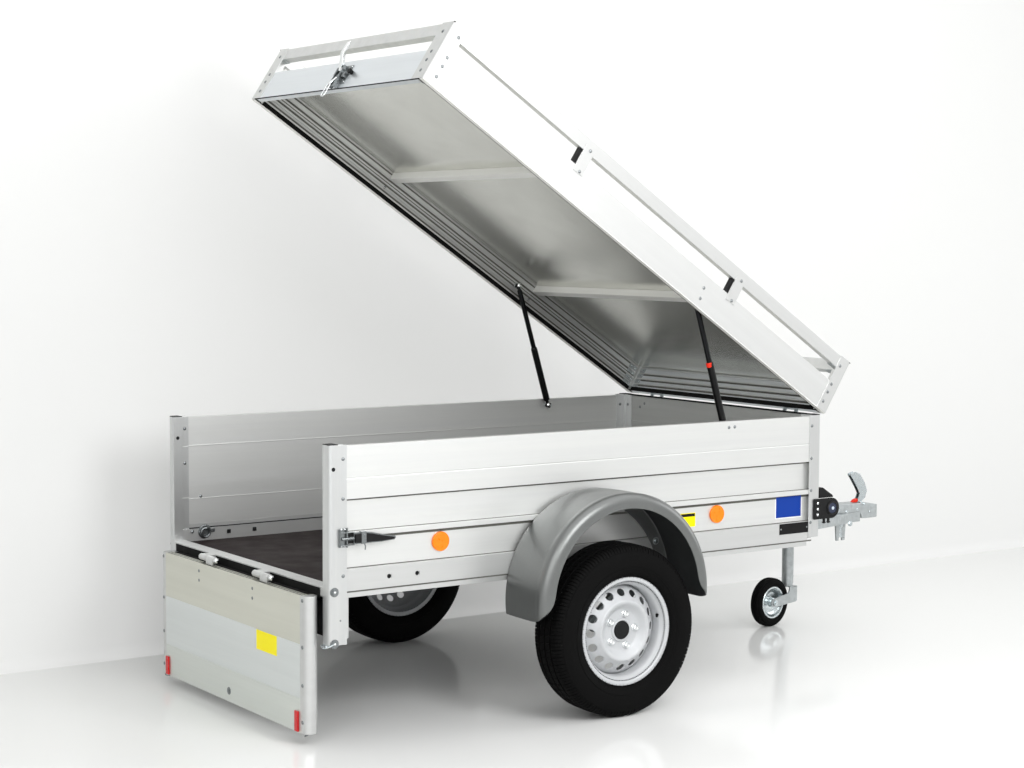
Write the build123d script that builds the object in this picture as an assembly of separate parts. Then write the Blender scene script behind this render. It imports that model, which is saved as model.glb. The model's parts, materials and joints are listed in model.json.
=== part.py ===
from build123d import *
import math
import os

# Lidded utility trailer: single axle, hanging tailgate, gas-strut lid, jockey wheel.
# X runs forward from the back face of the rear posts, Y to the left, Z up from the ground.
# Every piece is moved by -REAR_TO_ORIGIN in X as it is written, to centre the whole length.

os.makedirs("parts", exist_ok=True)

# ---- frame ----
REAR_TO_ORIGIN = 1434.0

# ---- box ----
BOX_LENGTH = 2061.0
POST_Y = 585.8
SKIN = 2.5
WALL_Y = POST_Y - SKIN
WALL_THICK = 24.5
WALL_IN = WALL_Y - WALL_THICK
RECESS = 14.0
RAIL_BOTTOM = 465.0
RAIL_STEP = RAIL_BOTTOM + 21.0
RAIL_LIP_Z = RAIL_BOTTOM + 75.0
RAIL_TOP = RAIL_BOTTOM + 91.0
RIDGE_BOTTOM = RAIL_TOP + 100.0
RIDGE_TOP = RIDGE_BOTTOM + 16.0
WALL_TOP = RAIL_TOP + 387.0
PLANK_BOTTOM = WALL_TOP - 168.0
SEAM_Z = WALL_TOP - 103.0
RAIL_FOOT_Y = WALL_Y - 4.3
RAIL_IN = WALL_IN - 6.8
LEDGE_Y = RAIL_IN - 22.0
FLOOR_TOP = RAIL_BOTTOM + 30.0
FLOOR_THICK = 12.0
FLOOR_BOTTOM = FLOOR_TOP - FLOOR_THICK
FLOOR_GAP = 0.5

# ---- corner posts ----
TUBE_LONG = 33.0
TUBE_WIDE = 41.0
TUBE_WALL = 3.0
TUBE_ROUND = 11.0
TUBE_IN = POST_Y - TUBE_WIDE
POST_TOP = WALL_TOP + 3.0
CAP_THICK = 2.5
REAR_POST_BOTTOM = RAIL_BOTTOM - 145.0
REAR_FLANGE = 30.5
FRONT_POST_BOTTOM = FLOOR_TOP + 1.0
FRONT_FLANGE = 22.0
FRONT_WALL_X = BOX_LENGTH - SKIN
FRONT_WALL_IN = FRONT_WALL_X - WALL_THICK
FRONT_TUBE_X = BOX_LENGTH - TUBE_LONG
RAIL_END = FRONT_TUBE_X - FRONT_FLANGE - 2.0

# ---- chassis ----
SILL_LONG = 50.0
SILL_BOTTOM = RAIL_BOTTOM + 5.0
SILL_TOP = FLOOR_TOP + 5.0
MEMBER_WIDE = 50.0
MEMBER_BEHIND = 715.0
MEMBER_BESIDE = 205.0
MEMBER_AHEAD = 485.0
ARM_TUBE = 40.0
ARM_WALL = 3.0
AXLE_X = BOX_LENGTH - 1046.0
ARM_REAR_X = AXLE_X + 90.0
ARM_REAR_Y = 430.0
NOSE_REAR = BOX_LENGTH + 539.0
NOSE_FRONT = NOSE_REAR + 216.0
ARM_FRONT_X = NOSE_REAR + 120.0
ARM_FRONT_Y = 33.0
NOSE_HALF = 32.0
BEAM_X = AXLE_X + 130.0
BEAM_TUBE = 60.0
BEAM_TOP = RAIL_BOTTOM - ARM_TUBE
BEAM_HALF = POST_Y + 14.2
COUPLING_TOP = RAIL_BOTTOM + 38.0
SOCKET_X = NOSE_FRONT + 72.0
SOCKET_Z = RAIL_BOTTOM - 29.0
SOCKET_R = 25.2
SOCKET_DEEP = 26.0

# ---- lamps ----
LAMP_IN = 330.0
LAMP_OUT = TUBE_IN - 14.8
MARKER_Z = RAIL_TOP + 22.0
MARKER_PLATE = 6.2

# ---- wheels ----
TYRE_R = 289.0
AXLE_Z = TYRE_R
TRACK_HALF = BEAM_HALF + 114.5
TYRE_HALF = 77.5
RIM_R = 182.0
SEAT_R = 168.5
WELL_R = 152.0
RIM_HALF = 65.0
RIM_THICK = 3.5
DISC_FACE = 30.0
DISC_THICK = 4.0
BEAD_GAP = 0.3
STUB_R = 16.0
RUN_FIT = 0.05
HUB_R = 32.0
HUB_FLANGE_R = 70.0
PILOT_R = 28.0
VENT_PITCH_R = 124.0
VENT_R = 14.5
GUARD_R = 346.0
GUARD_CROWN = 4.0
GUARD_THICK = 4.0
GUARD_X = AXLE_X - 10.0
GUARD_Z = AXLE_Z + 113.0
GUARD_OUT = TRACK_HALF + 90.5
GUARD_LIP = 50.0
GUARD_ROUND = 30.0
GUARD_END = 8.0

# ---- jockey wheel ----
JOCKEY_X = NOSE_REAR - 28.0
JOCKEY_Y = 137.0
JOCKEY_TUBE_R = 24.0
JOCKEY_TUBE_BORE = 21.5
JOCKEY_FIT = 0.08
JOCKEY_TUBE_BOTTOM = 165.0
JOCKEY_TUBE_TOP = 760.0
JOCKEY_R = 100.0
JOCKEY_HALF = 25.0
JOCKEY_RIM_R = 62.0
JOCKEY_TRAIL = 115.0
JOCKEY_TURN = 8.0
JOCKEY_PIN_R = 10.0

# ---- tailgate, hanging ----
GATE_PIN_X = -31.0
GATE_PIN_Z = SILL_TOP - 10.0
GATE_PIN_R = 5.0
GATE_KNUCKLE_R = 11.0
GATE_DEEP = 50.0
GATE_FACE = GATE_PIN_X - GATE_DEEP / 2
GATE_PANEL = 25.0
GATE_TOP = GATE_PIN_Z - 18.0
GATE_BOTTOM = GATE_TOP - 435.0
GATE_HALF = TUBE_IN - 6.8
GATE_PROFILE = 40.0
GATE_RAIL = 32.0
GATE_HINGE_Y = 200.0

# ---- lid, modelled closed and then opened ----
LID_FRONT = BOX_LENGTH + 13.0
LID_EDGE = WALL_TOP + 9.0
LID_LENGTH = BOX_LENGTH + 24.0
LID_POST_Y = POST_Y + 5.2
LID_Y = LID_POST_Y - SKIN
LID_IN = LID_Y - 22.5
LID_STEP_B = 58.0
LID_STEP_IN = LID_Y - 16.5
LID_PANEL_B = 113.0
LID_ROOF = 4.0
LID_HIGH = 218.0
LID_RAIL_LOW = 171.0
LID_RAIL_TOP = 216.0
LID_WALL = 25.0
LID_TUBE_WIDE = 41.0
LID_SIDE_FLANGE = 22.0
LID_END_FLANGE = 30.0
LID_BRACE_REAR = LID_LENGTH - 648.0
LID_BRACE_FRONT = 642.0
LID_BRACE = 30.0
SEAL_THICK = 3.0
LID_PIN_X = LID_FRONT - 2.0
LID_PIN_Z = LID_EDGE - 14.0
LID_PIN_R = 3.0
LID_KNUCKLE_R = 7.0
LID_HINGE_Y = 400.0
LID_OPEN = 33.1

# ---- gas struts ----
STRUT_Y = WALL_IN - 17.8
STRUT_FOOT_X = BOX_LENGTH - 429.0
STRUT_FOOT_Z = WALL_TOP - 24.0
STRUT_TUBE_R = 12.8
STRUT_TUBE_LONG = 245.0
STRUT_ROD_R = 9.5
STRUT_BORE_R = STRUT_ROD_R + 0.55
STRUT_NECK_R = 6.5
STRUT_EYE_R = 9.0
STRUT_EYE_HALF = 9.0
STRUT_STUD_A = 747.0
STRUT_STUD_B = 52.0
STUD_R = 5.0
ROD_LONG = 283.0


# ---- helpers ----
def block(x0, x1, y0, y1, z0, z1):
    """Box between two corners."""
    return Pos((x0 + x1) / 2, (y0 + y1) / 2, (z0 + z1) / 2) * Box(x1 - x0, y1 - y0, z1 - z0)


def outline(points):
    """Flat face inside a closed run of straight lines."""
    return make_face(Polyline(*points, close=True))


def along_x(points, x0, x1):
    """Closed (y, z) outline carried from x0 to x1."""
    return extrude(outline([(x0, y, z) for y, z in points]), amount=x1 - x0, dir=(1, 0, 0))


def along_y(points, y0, y1):
    """Closed (x, z) outline carried from y0 to y1."""
    return extrude(outline([(x, y0, z) for x, z in points]), amount=y1 - y0, dir=(0, 1, 0))


def along_z(points, z0, z1):
    """Closed (x, y) outline carried from z0 to z1."""
    return extrude(outline([(x, y, z0) for x, y in points]), amount=z1 - z0, dir=(0, 0, 1))


def rod(start, end, radius, bore=0.0):
    """Round bar or tube between two points."""
    start = Vector(*start)
    end = Vector(*end)
    section = Circle(radius)
    if bore:
        section = section - Circle(bore)
    return extrude(Plane(origin=start, z_dir=end - start) * section, amount=(end - start).length)


def across(x, z, y0, y1, radius, bore=0.0):
    """Round bar or ring along Y."""
    return rod((x, y0, z), (x, y1, z), radius, bore)


def turned(points):
    """Closed (width, radius) outline turned about the Y axis."""
    return revolve(outline([(0, w, r) for w, r in points]), axis=Axis.Y)


def right_of(shape):
    """The same piece on the right-hand side."""
    return mirror(shape, about=Plane.XZ)


def both(shape):
    """The piece and its mirror image."""
    return shape + right_of(shape)


def save(node, *solids):
    """Join the solids, move them to the shared origin and write one STEP file."""
    shape = solids[0]
    for solid in solids[1:]:
        shape = shape + solid
    export_step(Pos(-REAR_TO_ORIGIN, 0, 0) * shape, f"parts/{node}.step")


def save_pair(node, left):
    """Write a left piece and its mirror image as two nodes."""
    save(f"{node}_left", left)
    save(f"{node}_right", right_of(left))


# ---- box: walls, rails, floor ----
def wall_section(face, inner):
    """Side view of a wall: (depth, z) points from the outer face inwards."""
    recess = face - RECESS
    groove = 2.0
    return [
        (inner, RAIL_TOP),
        (recess, RAIL_TOP),
        (recess, RIDGE_BOTTOM),
        (face, RIDGE_BOTTOM),
        (face, RIDGE_TOP),
        (recess, RIDGE_TOP),
        (recess, PLANK_BOTTOM),
        (face, PLANK_BOTTOM),
        (face, SEAM_Z - groove),
        (face - groove, SEAM_Z),
        (face, SEAM_Z + groove),
        (face, WALL_TOP),
        (inner, WALL_TOP),
    ]


def side_wall():
    return along_x(wall_section(WALL_Y, WALL_IN), TUBE_LONG, FRONT_TUBE_X)


def side_rail():
    section = [
        (WALL_Y, RAIL_TOP),
        (WALL_Y, RAIL_STEP),
        (RAIL_FOOT_Y, RAIL_STEP),
        (RAIL_FOOT_Y, RAIL_BOTTOM),
        (LEDGE_Y, RAIL_BOTTOM),
        (LEDGE_Y, FLOOR_BOTTOM),
        (RAIL_IN, FLOOR_BOTTOM),
        (RAIL_IN, RAIL_LIP_Z),
        (WALL_IN, RAIL_LIP_Z),
        (WALL_IN, RAIL_TOP),
    ]
    rail = along_x(section, TUBE_LONG, FRONT_TUBE_X)
    rail = rail - block(TUBE_LONG - 1, SILL_LONG, LEDGE_Y - 1, RAIL_IN, RAIL_BOTTOM - 1, FLOOR_BOTTOM)
    rail = rail - block(RAIL_END, BOX_LENGTH, LEDGE_Y - 1, POST_Y, RAIL_BOTTOM - 1, FRONT_POST_BOTTOM)
    middle = RAIL_BOTTOM + 55
    for x in (219.5, 324.5):
        rail = rail - block(x - 6.5, x + 6.5, WALL_Y - 3, WALL_Y + 1, middle - 6.5, middle + 6.5)
    return rail


def front_wall():
    section = [(FRONT_WALL_IN, RAIL_STEP)]
    section += [(FRONT_WALL_X, RAIL_STEP), (FRONT_WALL_X, RAIL_TOP)]
    section += wall_section(FRONT_WALL_X, FRONT_WALL_IN)[1:]
    return along_y(section, -TUBE_IN, TUBE_IN)


def floor_panel():
    half = RAIL_IN - FLOOR_GAP
    return block(SILL_LONG, FRONT_WALL_IN, -half, half, FLOOR_BOTTOM, FLOOR_TOP)


def post_outline(side_flange, end_flange, wide, hollow=True):
    """Section of a corner post: outer corner at (0, 0), x along the trailer, y towards the middle."""
    tube = Pos(TUBE_LONG / 2, wide / 2) * Rectangle(TUBE_LONG, wide)
    corner = tube.vertices().sort_by(lambda v: v.X + v.Y)[0]
    tube = fillet(corner, TUBE_ROUND)
    if hollow:
        inner = Rectangle(TUBE_LONG - 2 * TUBE_WALL, wide - 2 * TUBE_WALL)
        inner = Pos(TUBE_LONG / 2, wide / 2) * inner
        inner = fillet(inner.vertices().sort_by(lambda v: v.X + v.Y)[0], TUBE_ROUND - TUBE_WALL)
        tube = tube - inner
    if side_flange:
        tube = tube + Pos(TUBE_LONG + side_flange / 2, SKIN / 2) * Rectangle(side_flange, SKIN)
    if end_flange:
        tube = tube + Pos(SKIN / 2, wide + end_flange / 2) * Rectangle(SKIN, end_flange)
    return tube


def rear_post():
    section = post_outline(REAR_FLANGE, 0, TUBE_WIDE)
    post = extrude(section, amount=POST_TOP - REAR_POST_BOTTOM)
    post = Pos(0, POST_Y, REAR_POST_BOTTOM) * mirror(post, about=Plane.XZ)
    gusset = block(TUBE_LONG, 90, TUBE_IN + 1, TUBE_IN + 4, REAR_POST_BOTTOM + 10, RAIL_BOTTOM)
    return post + gusset


def front_post():
    section = post_outline(FRONT_FLANGE, FRONT_FLANGE, TUBE_WIDE)
    post = extrude(section, amount=POST_TOP - FRONT_POST_BOTTOM)
    return Pos(BOX_LENGTH, POST_Y, FRONT_POST_BOTTOM) * Rot(0, 0, 180) * post


def post_caps():
    cap = extrude(post_outline(0, 0, TUBE_WIDE, hollow=False), amount=CAP_THICK)
    rear = Pos(0, POST_Y, POST_TOP) * mirror(cap, about=Plane.XZ)
    front = Pos(BOX_LENGTH, POST_Y, POST_TOP) * Rot(0, 0, 180) * cap
    return both(rear) + both(front)


save_pair("side_wall", side_wall())
save_pair("side_rail", side_rail())
save("front_wall", front_wall())
save("floor_panel", floor_panel())
save_pair("rear_post", rear_post())
save_pair("front_post", front_post())
save("post_caps", post_caps())


# ---- chassis: sill, cross members, drawbar, axle ----
def rear_sill():
    sill = block(0, SILL_LONG, -TUBE_IN, TUBE_IN, SILL_BOTTOM, SILL_TOP)
    sill += block(TUBE_LONG, SILL_LONG, -RAIL_IN, RAIL_IN, SILL_BOTTOM, SILL_TOP)
    for y in (-GATE_HINGE_Y, GATE_HINGE_Y):
        sill += block(GATE_PIN_X, 0, y + 5, y + 58, GATE_PIN_Z - 10, GATE_PIN_Z + 10)
        sill += across(GATE_PIN_X, GATE_PIN_Z, y + 5, y + 58, GATE_KNUCKLE_R)
        sill += across(GATE_PIN_X, GATE_PIN_Z, y - 60, y + 10, GATE_PIN_R)
        sill += across(GATE_PIN_X, GATE_PIN_Z, y - 60, y - 49, 9)
    return sill


def cross_member(x):
    return block(x - MEMBER_WIDE / 2, x + MEMBER_WIDE / 2, -LEDGE_Y, LEDGE_Y, RAIL_BOTTOM, FLOOR_BOTTOM)


def nose_outer():
    return block(NOSE_REAR, NOSE_FRONT, -NOSE_HALF, NOSE_HALF, BEAM_TOP, RAIL_BOTTOM)


def drawbar_bar(half, z0, z1):
    """Bar along the slanting centreline of the left drawbar arm."""
    along = Vector(ARM_FRONT_X - ARM_REAR_X, ARM_FRONT_Y - ARM_REAR_Y).normalized()
    aside = Vector(-along.Y, along.X) * half
    rear = Vector(ARM_REAR_X, ARM_REAR_Y)
    front = Vector(ARM_FRONT_X, ARM_FRONT_Y)
    corners = [rear + aside, rear - aside, front - aside, front + aside]
    return along_z([(c.X, c.Y) for c in corners], z0, z1)


def drawbar_arm():
    outer = drawbar_bar(ARM_TUBE / 2, BEAM_TOP, RAIL_BOTTOM)
    inner = drawbar_bar(ARM_TUBE / 2 - ARM_WALL, BEAM_TOP + ARM_WALL, RAIL_BOTTOM - ARM_WALL)
    return outer - inner - nose_outer()


def prong(x, half, hole):
    shape = along_y(
        [(x - half, BEAM_TOP), (x + half, BEAM_TOP), (x + half - 5, BEAM_TOP - 77), (x - half + 5, BEAM_TOP - 77)], -4, 4
    )
    if hole:
        shape = shape - across(x, BEAM_TOP - 63, -5, 5, 4)
    return shape


def drawbar_nose():
    cavity = block(NOSE_REAR - 1, NOSE_FRONT - 30, 4 - NOSE_HALF, NOSE_HALF - 4, BEAM_TOP + 4, RAIL_BOTTOM - 4)
    return nose_outer() - cavity + prong(NOSE_FRONT - 99, 11, False) + prong(NOSE_FRONT - 66, 12, True)


def axle_beam():
    half = BEAM_TUBE / 2
    beam = block(BEAM_X - half, BEAM_X + half, -BEAM_HALF, BEAM_HALF, BEAM_TOP - BEAM_TUBE, BEAM_TOP)
    beam -= block(BEAM_X - half + 4, BEAM_X + half - 4, -BEAM_HALF - 1, BEAM_HALF + 1, BEAM_TOP - 56, BEAM_TOP - 4)
    inner = LEDGE_Y + 5
    bracket = block(BEAM_X - 45, BEAM_X + 45, inner, RAIL_FOOT_Y - 4, BEAM_TOP, RAIL_BOTTOM)
    bracket -= block(BEAM_X - 41, BEAM_X + 41, inner + 4, RAIL_FOOT_Y, BEAM_TOP + 4, RAIL_BOTTOM - 4)
    return beam + both(bracket)


def axle_arm():
    pivot = Vector(BEAM_X, BEAM_TOP - BEAM_TUBE / 2)
    stub = Vector(AXLE_X, AXLE_Z)
    along = (stub - pivot).normalized()
    aside = Vector(-along.Y, along.X)
    corners = [pivot + aside * 38, pivot - aside * 38, stub - aside * 32, stub + aside * 32]
    plate = along_y([(c.X, c.Y) for c in corners], BEAM_HALF, BEAM_HALF + 20)
    plate += across(pivot.X, pivot.Y, BEAM_HALF, BEAM_HALF + 20, 38)
    plate += across(stub.X, stub.Y, BEAM_HALF, BEAM_HALF + 20, 32)
    return plate + across(stub.X, stub.Y, BEAM_HALF + 10, TRACK_HALF + 36, STUB_R)


save("rear_sill", rear_sill())
save(
    "cross_members",
    cross_member(AXLE_X - MEMBER_BEHIND),
    cross_member(ARM_REAR_X - MEMBER_BESIDE),
    cross_member(AXLE_X + MEMBER_AHEAD),
)
save_pair("drawbar_arm", drawbar_arm())
save("drawbar_nose", drawbar_nose())
save("axle_beam", axle_beam())
save("axle_arms", both(axle_arm()))


# ---- coupling ----
def coupling_head():
    side = [
        (NOSE_FRONT - 126, RAIL_BOTTOM),
        (NOSE_FRONT - 126, COUPLING_TOP),
        (SOCKET_X - 28, COUPLING_TOP - 3),
        (SOCKET_X + 37, COUPLING_TOP - 15),
        (SOCKET_X + 42, COUPLING_TOP - 33),
        (SOCKET_X + 37, SOCKET_Z),
        (NOSE_FRONT + 14, SOCKET_Z),
        (NOSE_FRONT, RAIL_BOTTOM),
    ]
    back = NOSE_FRONT - 126
    front = SOCKET_X + 10
    plan = Pos((back + front) / 2, 0) * Rectangle(front - back, 2 * NOSE_HALF)
    plan += Pos(front, 0) * Circle(NOSE_HALF)
    head = along_y(side, -NOSE_HALF, NOSE_HALF) & (Pos(0, 0, SOCKET_Z - 10) * extrude(plan, amount=120))
    mouth = rod((SOCKET_X, 0, SOCKET_Z - 1), (SOCKET_X, 0, SOCKET_Z + SOCKET_DEEP), SOCKET_R)
    dome = Pos(SOCKET_X, 0, SOCKET_Z + SOCKET_DEEP) * Sphere(SOCKET_R)
    return head - mouth - dome


def coupling_handle():
    x = NOSE_FRONT
    z = COUPLING_TOP
    lower = [(x + 15, z - 15), (x + 54, z + 25), (x + 6, z + 99), (x - 24, z + 91)]
    upper = [(x - 26, z + 103), (x + 13, z + 113), (x + 70, z + 25), (x + 29, z - 19)]
    return along_y(lower + upper, -14, 14) - coupling_head()


save("coupling_head", coupling_head())
save("coupling_handle", coupling_handle())


# ---- road wheels ----
def tyre():
    middle = (TYRE_R + RIM_R) / 2
    outer = [(0, TYRE_R), (50, TYRE_R - 1.5), (64, TYRE_R - 12), (74, TYRE_R - 35), (TYRE_HALF, middle - 4.5)]
    flange = [(75, RIM_R + 23), (66.5, RIM_R + 3.5), (61.2, RIM_R + 0.9)]
    bead = flange + [(61.2, SEAT_R + BEAD_GAP), (47, SEAT_R + BEAD_GAP)]
    inner = [(52, RIM_R), (67, middle - 5.5), (50, TYRE_R - 17)]
    half = outer + bead + inner
    other = [(-w, r) for w, r in reversed(half[1:])]
    return turned(half + [(0, TYRE_R - 13)] + other)


def rim():
    outer = [
        (RIM_HALF, RIM_R),
        (61.5, RIM_R),
        (61.5, SEAT_R),
        (34, SEAT_R - 3),
        (24, WELL_R + RIM_THICK),
        (-16, WELL_R + RIM_THICK),
        (-30, SEAT_R - 3),
        (-61.5, SEAT_R),
        (-61.5, RIM_R),
        (-RIM_HALF, RIM_R),
    ]
    inner = [
        (-RIM_HALF, SEAT_R - RIM_THICK),
        (-28, SEAT_R - 3 - RIM_THICK),
        (-15, WELL_R),
        (23, WELL_R),
        (32, SEAT_R - 3 - RIM_THICK),
        (RIM_HALF, SEAT_R - RIM_THICK),
    ]
    face = [(8, 153), (20, 144), (27, 132), (33, 112), (44, 98), (46, 88), (40, 78), (34, 70), (34, PILOT_R + 0.3)]
    back = [(DISC_FACE, PILOT_R + 0.3), (DISC_FACE, 71), (36, 80), (42, 88), (40, 96), (29, 110), (23, 130), (16, 141)]
    shape = turned(outer + inner) + turned(face + back + [(4, 150), (4, 153)])
    for index in range(16):
        angle = math.radians(index * 22.5)
        shape -= across(VENT_PITCH_R * math.cos(angle), VENT_PITCH_R * math.sin(angle), 10, 60, VENT_R)
    return shape


def hub():
    shape = turned(
        [
            (-54.5, 0),
            (-54.5, HUB_R),
            (DISC_FACE - 8, HUB_R),
            (DISC_FACE - 8, HUB_FLANGE_R),
            (DISC_FACE, HUB_FLANGE_R),
            (DISC_FACE, PILOT_R),
            (DISC_FACE + 14, PILOT_R),
            (DISC_FACE + 22, 24),
            (DISC_FACE + 26, 16),
            (DISC_FACE + 26, 0),
        ]
    )
    return shape - across(0, 0, -60, 38, STUB_R + RUN_FIT)


wheel_spot = Pos(AXLE_X, TRACK_HALF, AXLE_Z)
save_pair("tyre", wheel_spot * tyre())
save_pair("rim", wheel_spot * rim())
save_pair("hub", wheel_spot * hub())


def guard_section():
    """Section of the mudguard: inner flange, crowned top, rounded corner and outer lip."""
    in_y = WALL_Y
    top = GUARD_R + GUARD_CROWN
    low = GUARD_R - GUARD_LIP
    corner = GUARD_OUT - GUARD_ROUND
    cut = GUARD_ROUND * 0.293
    thin = GUARD_THICK
    return [
        (in_y, low),
        (in_y, GUARD_R),
        (in_y + 80, top),
        (corner, top),
        (GUARD_OUT - cut, top - cut),
        (GUARD_OUT, top - GUARD_ROUND),
        (GUARD_OUT, low),
        (GUARD_OUT - thin, low),
        (GUARD_OUT - thin, top - GUARD_ROUND),
        (GUARD_OUT - cut - thin * 0.7, top - cut - thin * 0.7),
        (corner, top - thin),
        (in_y + 80, top - thin),
        (in_y + thin, GUARD_R - thin),
        (in_y + thin, low),
    ]


def lip_end_cut():
    """Wedge that takes the corner off the outer lip at the rear end of the guard."""
    turns = ((GUARD_LIP + 5, 18), (12, -GUARD_END - 1), (GUARD_LIP + 40, -GUARD_END - 6))
    corners = []
    for inward, degrees in turns:
        reach = GUARD_R - inward
        angle = math.radians(degrees)
        corners.append((-reach * math.cos(angle), reach * math.sin(angle)))
    return along_y(corners, GUARD_OUT - GUARD_ROUND, GUARD_OUT + 1)


def mudguard():
    points = [(-r, w, 0) for w, r in guard_section()]
    arch = revolve(outline(points), axis=Axis.Y, revolution_arc=180 + 2 * GUARD_END)
    arch = Rot(0, -GUARD_END, 0) * arch
    cut = lip_end_cut()
    arch = arch - cut - mirror(cut, about=Plane.YZ)
    return Pos(GUARD_X, 0, GUARD_Z) * arch


save_pair("mudguard", mudguard())


# ---- lamps, latches, rings ----
def rear_light_beam():
    bottom = REAR_POST_BOTTOM + 10
    beam = block(40, 44, -TUBE_IN, TUBE_IN, bottom, SILL_BOTTOM)
    beam += block(44, 62, -TUBE_IN, TUBE_IN, bottom, bottom + 4)
    return beam + both(block(20, 40, LAMP_IN, LAMP_OUT, bottom + 15, SILL_BOTTOM - 15))


def marker_holder():
    z = MARKER_Z
    front = BOX_LENGTH + 51
    plate = block(FRONT_TUBE_X, front, POST_Y, POST_Y + MARKER_PLATE, z - 46, z + 46)
    plate += across(front, z, POST_Y, POST_Y + MARKER_PLATE, 46)
    for x in (front - 37, front - 7):
        plate += block(x - 5, x + 5, POST_Y, POST_Y + MARKER_PLATE, z - 63, z - 44)
    return plate


def marker_fin():
    x = BOX_LENGTH
    z = MARKER_Z + 50
    side = [(x, z), (x, z + 47), (x + 14, z + 47), (x + 64, z + 12), (x + 64, z)]
    return along_y(side, POST_Y - 25.8, POST_Y - 5.8)


def side_latch():
    z = RIDGE_BOTTOM - 13
    latch = block(34, 63.5, POST_Y, POST_Y + 3, z - 17, RIDGE_TOP + 14)
    latch += block(53, 131, POST_Y, POST_Y + 15, z - 8, RIDGE_TOP)
    latch += block(63.5, 131, WALL_Y, POST_Y, RIDGE_BOTTOM, RIDGE_TOP)
    return latch + rod((125, POST_Y + 9, z), (232, POST_Y + 7, z), 5.5)


def tie_ring():
    z = RAIL_LIP_Z - 7
    plate = block(60, 125, RAIL_IN - 3, RAIL_IN, z - 30, z + 5)
    eye = across(92, z, RAIL_IN - 16, RAIL_IN - 3, 6)
    ring = Pos(92, RAIL_IN - 11, z - 14) * Rot(90, 0, 0) * Torus(18, 3)
    return plate + eye + ring


def side_reflector(x):
    face = WALL_Y - RECESS
    return across(x, RAIL_TOP + 56, face, face + 8, 32)


save("rear_light_beam", rear_light_beam())
save(
    "lamp_lenses",
    both(block(12, 20, LAMP_IN, LAMP_OUT, REAR_POST_BOTTOM + 30, SILL_BOTTOM - 20)),
    both(across(BOX_LENGTH + 59, MARKER_Z - 1, POST_Y + MARKER_PLATE, POST_Y + 12, 20)),
)
save(
    "side_reflectors",
    both(side_reflector(AXLE_X - 603)),
    both(side_reflector(AXLE_X + 556)),
)
save("marker_lamp_holders", both(marker_holder()), both(marker_fin()))
save("side_latches", both(side_latch()))
save("tie_rings", both(tie_ring()))


def lid_mount_brackets():
    shape = both(across(STRUT_FOOT_X, STRUT_FOOT_Z, STRUT_Y - 12, WALL_IN, STUD_R))
    shape += both(across(STRUT_FOOT_X, STRUT_FOOT_Z, STRUT_Y - 12, STRUT_Y - 10, 8))
    for y in (-LID_HINGE_Y, LID_HINGE_Y):
        shape += block(FRONT_WALL_X, FRONT_WALL_X + 4, y - 45, y + 45, WALL_TOP - 63, LID_PIN_Z)
        shape += block(FRONT_WALL_X, LID_PIN_X, y - 20, y + 20, LID_PIN_Z - 7, LID_PIN_Z)
        shape += across(LID_PIN_X, LID_PIN_Z, y - 20, y + 20, LID_KNUCKLE_R)
        shape += across(LID_PIN_X, LID_PIN_Z, y - 43, y + 43, LID_PIN_R)
    return shape


save("lid_mount_brackets", lid_mount_brackets())


# ---- jockey wheel ----
def jockey_clamp():
    ring = rod((JOCKEY_X, JOCKEY_Y, BEAM_TOP - 5), (JOCKEY_X, JOCKEY_Y, RAIL_BOTTOM + 5), 32)
    foot = block(JOCKEY_X - 25, JOCKEY_X + 25, 60, JOCKEY_Y, BEAM_TOP, RAIL_BOTTOM)
    z = (BEAM_TOP + RAIL_BOTTOM) / 2
    handle = rod((JOCKEY_X + 20, JOCKEY_Y + 26, z), (JOCKEY_X + 75, JOCKEY_Y + 40, z + 7), 6)
    bore = rod((JOCKEY_X, JOCKEY_Y, z - 45), (JOCKEY_X, JOCKEY_Y, z + 35), JOCKEY_TUBE_R + JOCKEY_FIT)
    return (ring + foot + handle) - bore - drawbar_bar(ARM_TUBE / 2, BEAM_TOP - 1, RAIL_BOTTOM + 1)


def jockey_outer_tube():
    x = JOCKEY_X
    y = JOCKEY_Y
    tube = rod((x, y, JOCKEY_TUBE_BOTTOM), (x, y, JOCKEY_TUBE_TOP), JOCKEY_TUBE_R, JOCKEY_TUBE_BORE)
    cap = rod((x, y, JOCKEY_TUBE_TOP), (x, y, JOCKEY_TUBE_TOP + 12), JOCKEY_TUBE_R + 3)
    top = JOCKEY_TUBE_TOP + 32
    spindle = rod((x, y, JOCKEY_TUBE_TOP + 10), (x, y, top), 6)
    crank = block(x - 10, x + 92, y - 8, y + 8, top - 7, top + 1)
    grip = rod((x + 84, y, top - 6), (x + 84, y, top - 72), 9)
    return tube + cap + spindle + crank + grip


def jockey_fork():
    """Swivel tube and fork, wheel trailing along -X about a local origin on the ground."""
    stem = rod((0, 0, JOCKEY_TUBE_BOTTOM - 13), (0, 0, JOCKEY_TUBE_TOP - 160), JOCKEY_TUBE_BORE - JOCKEY_FIT)
    web = block(-16, 24, -33, 33, 150, 156)
    arm_side = [(24, 156), (-20, 156), (-90, 125), (-137, 112), (-137, 88), (-90, 77), (24, 122)]
    arm = along_y(arm_side, JOCKEY_HALF + 3, JOCKEY_HALF + 8)
    pin = across(-JOCKEY_TRAIL, JOCKEY_R, -JOCKEY_HALF - 11, JOCKEY_HALF + 11, JOCKEY_PIN_R)
    return stem + web + both(arm) + pin


def jockey_tyre():
    half = [(0, JOCKEY_R), (17, 98), (24, 90), (JOCKEY_HALF, 80), (24, 68), (20, JOCKEY_RIM_R + BEAD_GAP)]
    return turned(half + [(-w, r) for w, r in reversed(half[1:])])


def jockey_rim():
    bore = JOCKEY_PIN_R + RUN_FIT
    half = [(24, bore), (24, 18), (6, 18), (6, 54), (19, 57), (19, JOCKEY_RIM_R)]
    return turned(half + [(-w, r) for w, r in reversed(half)])


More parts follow.
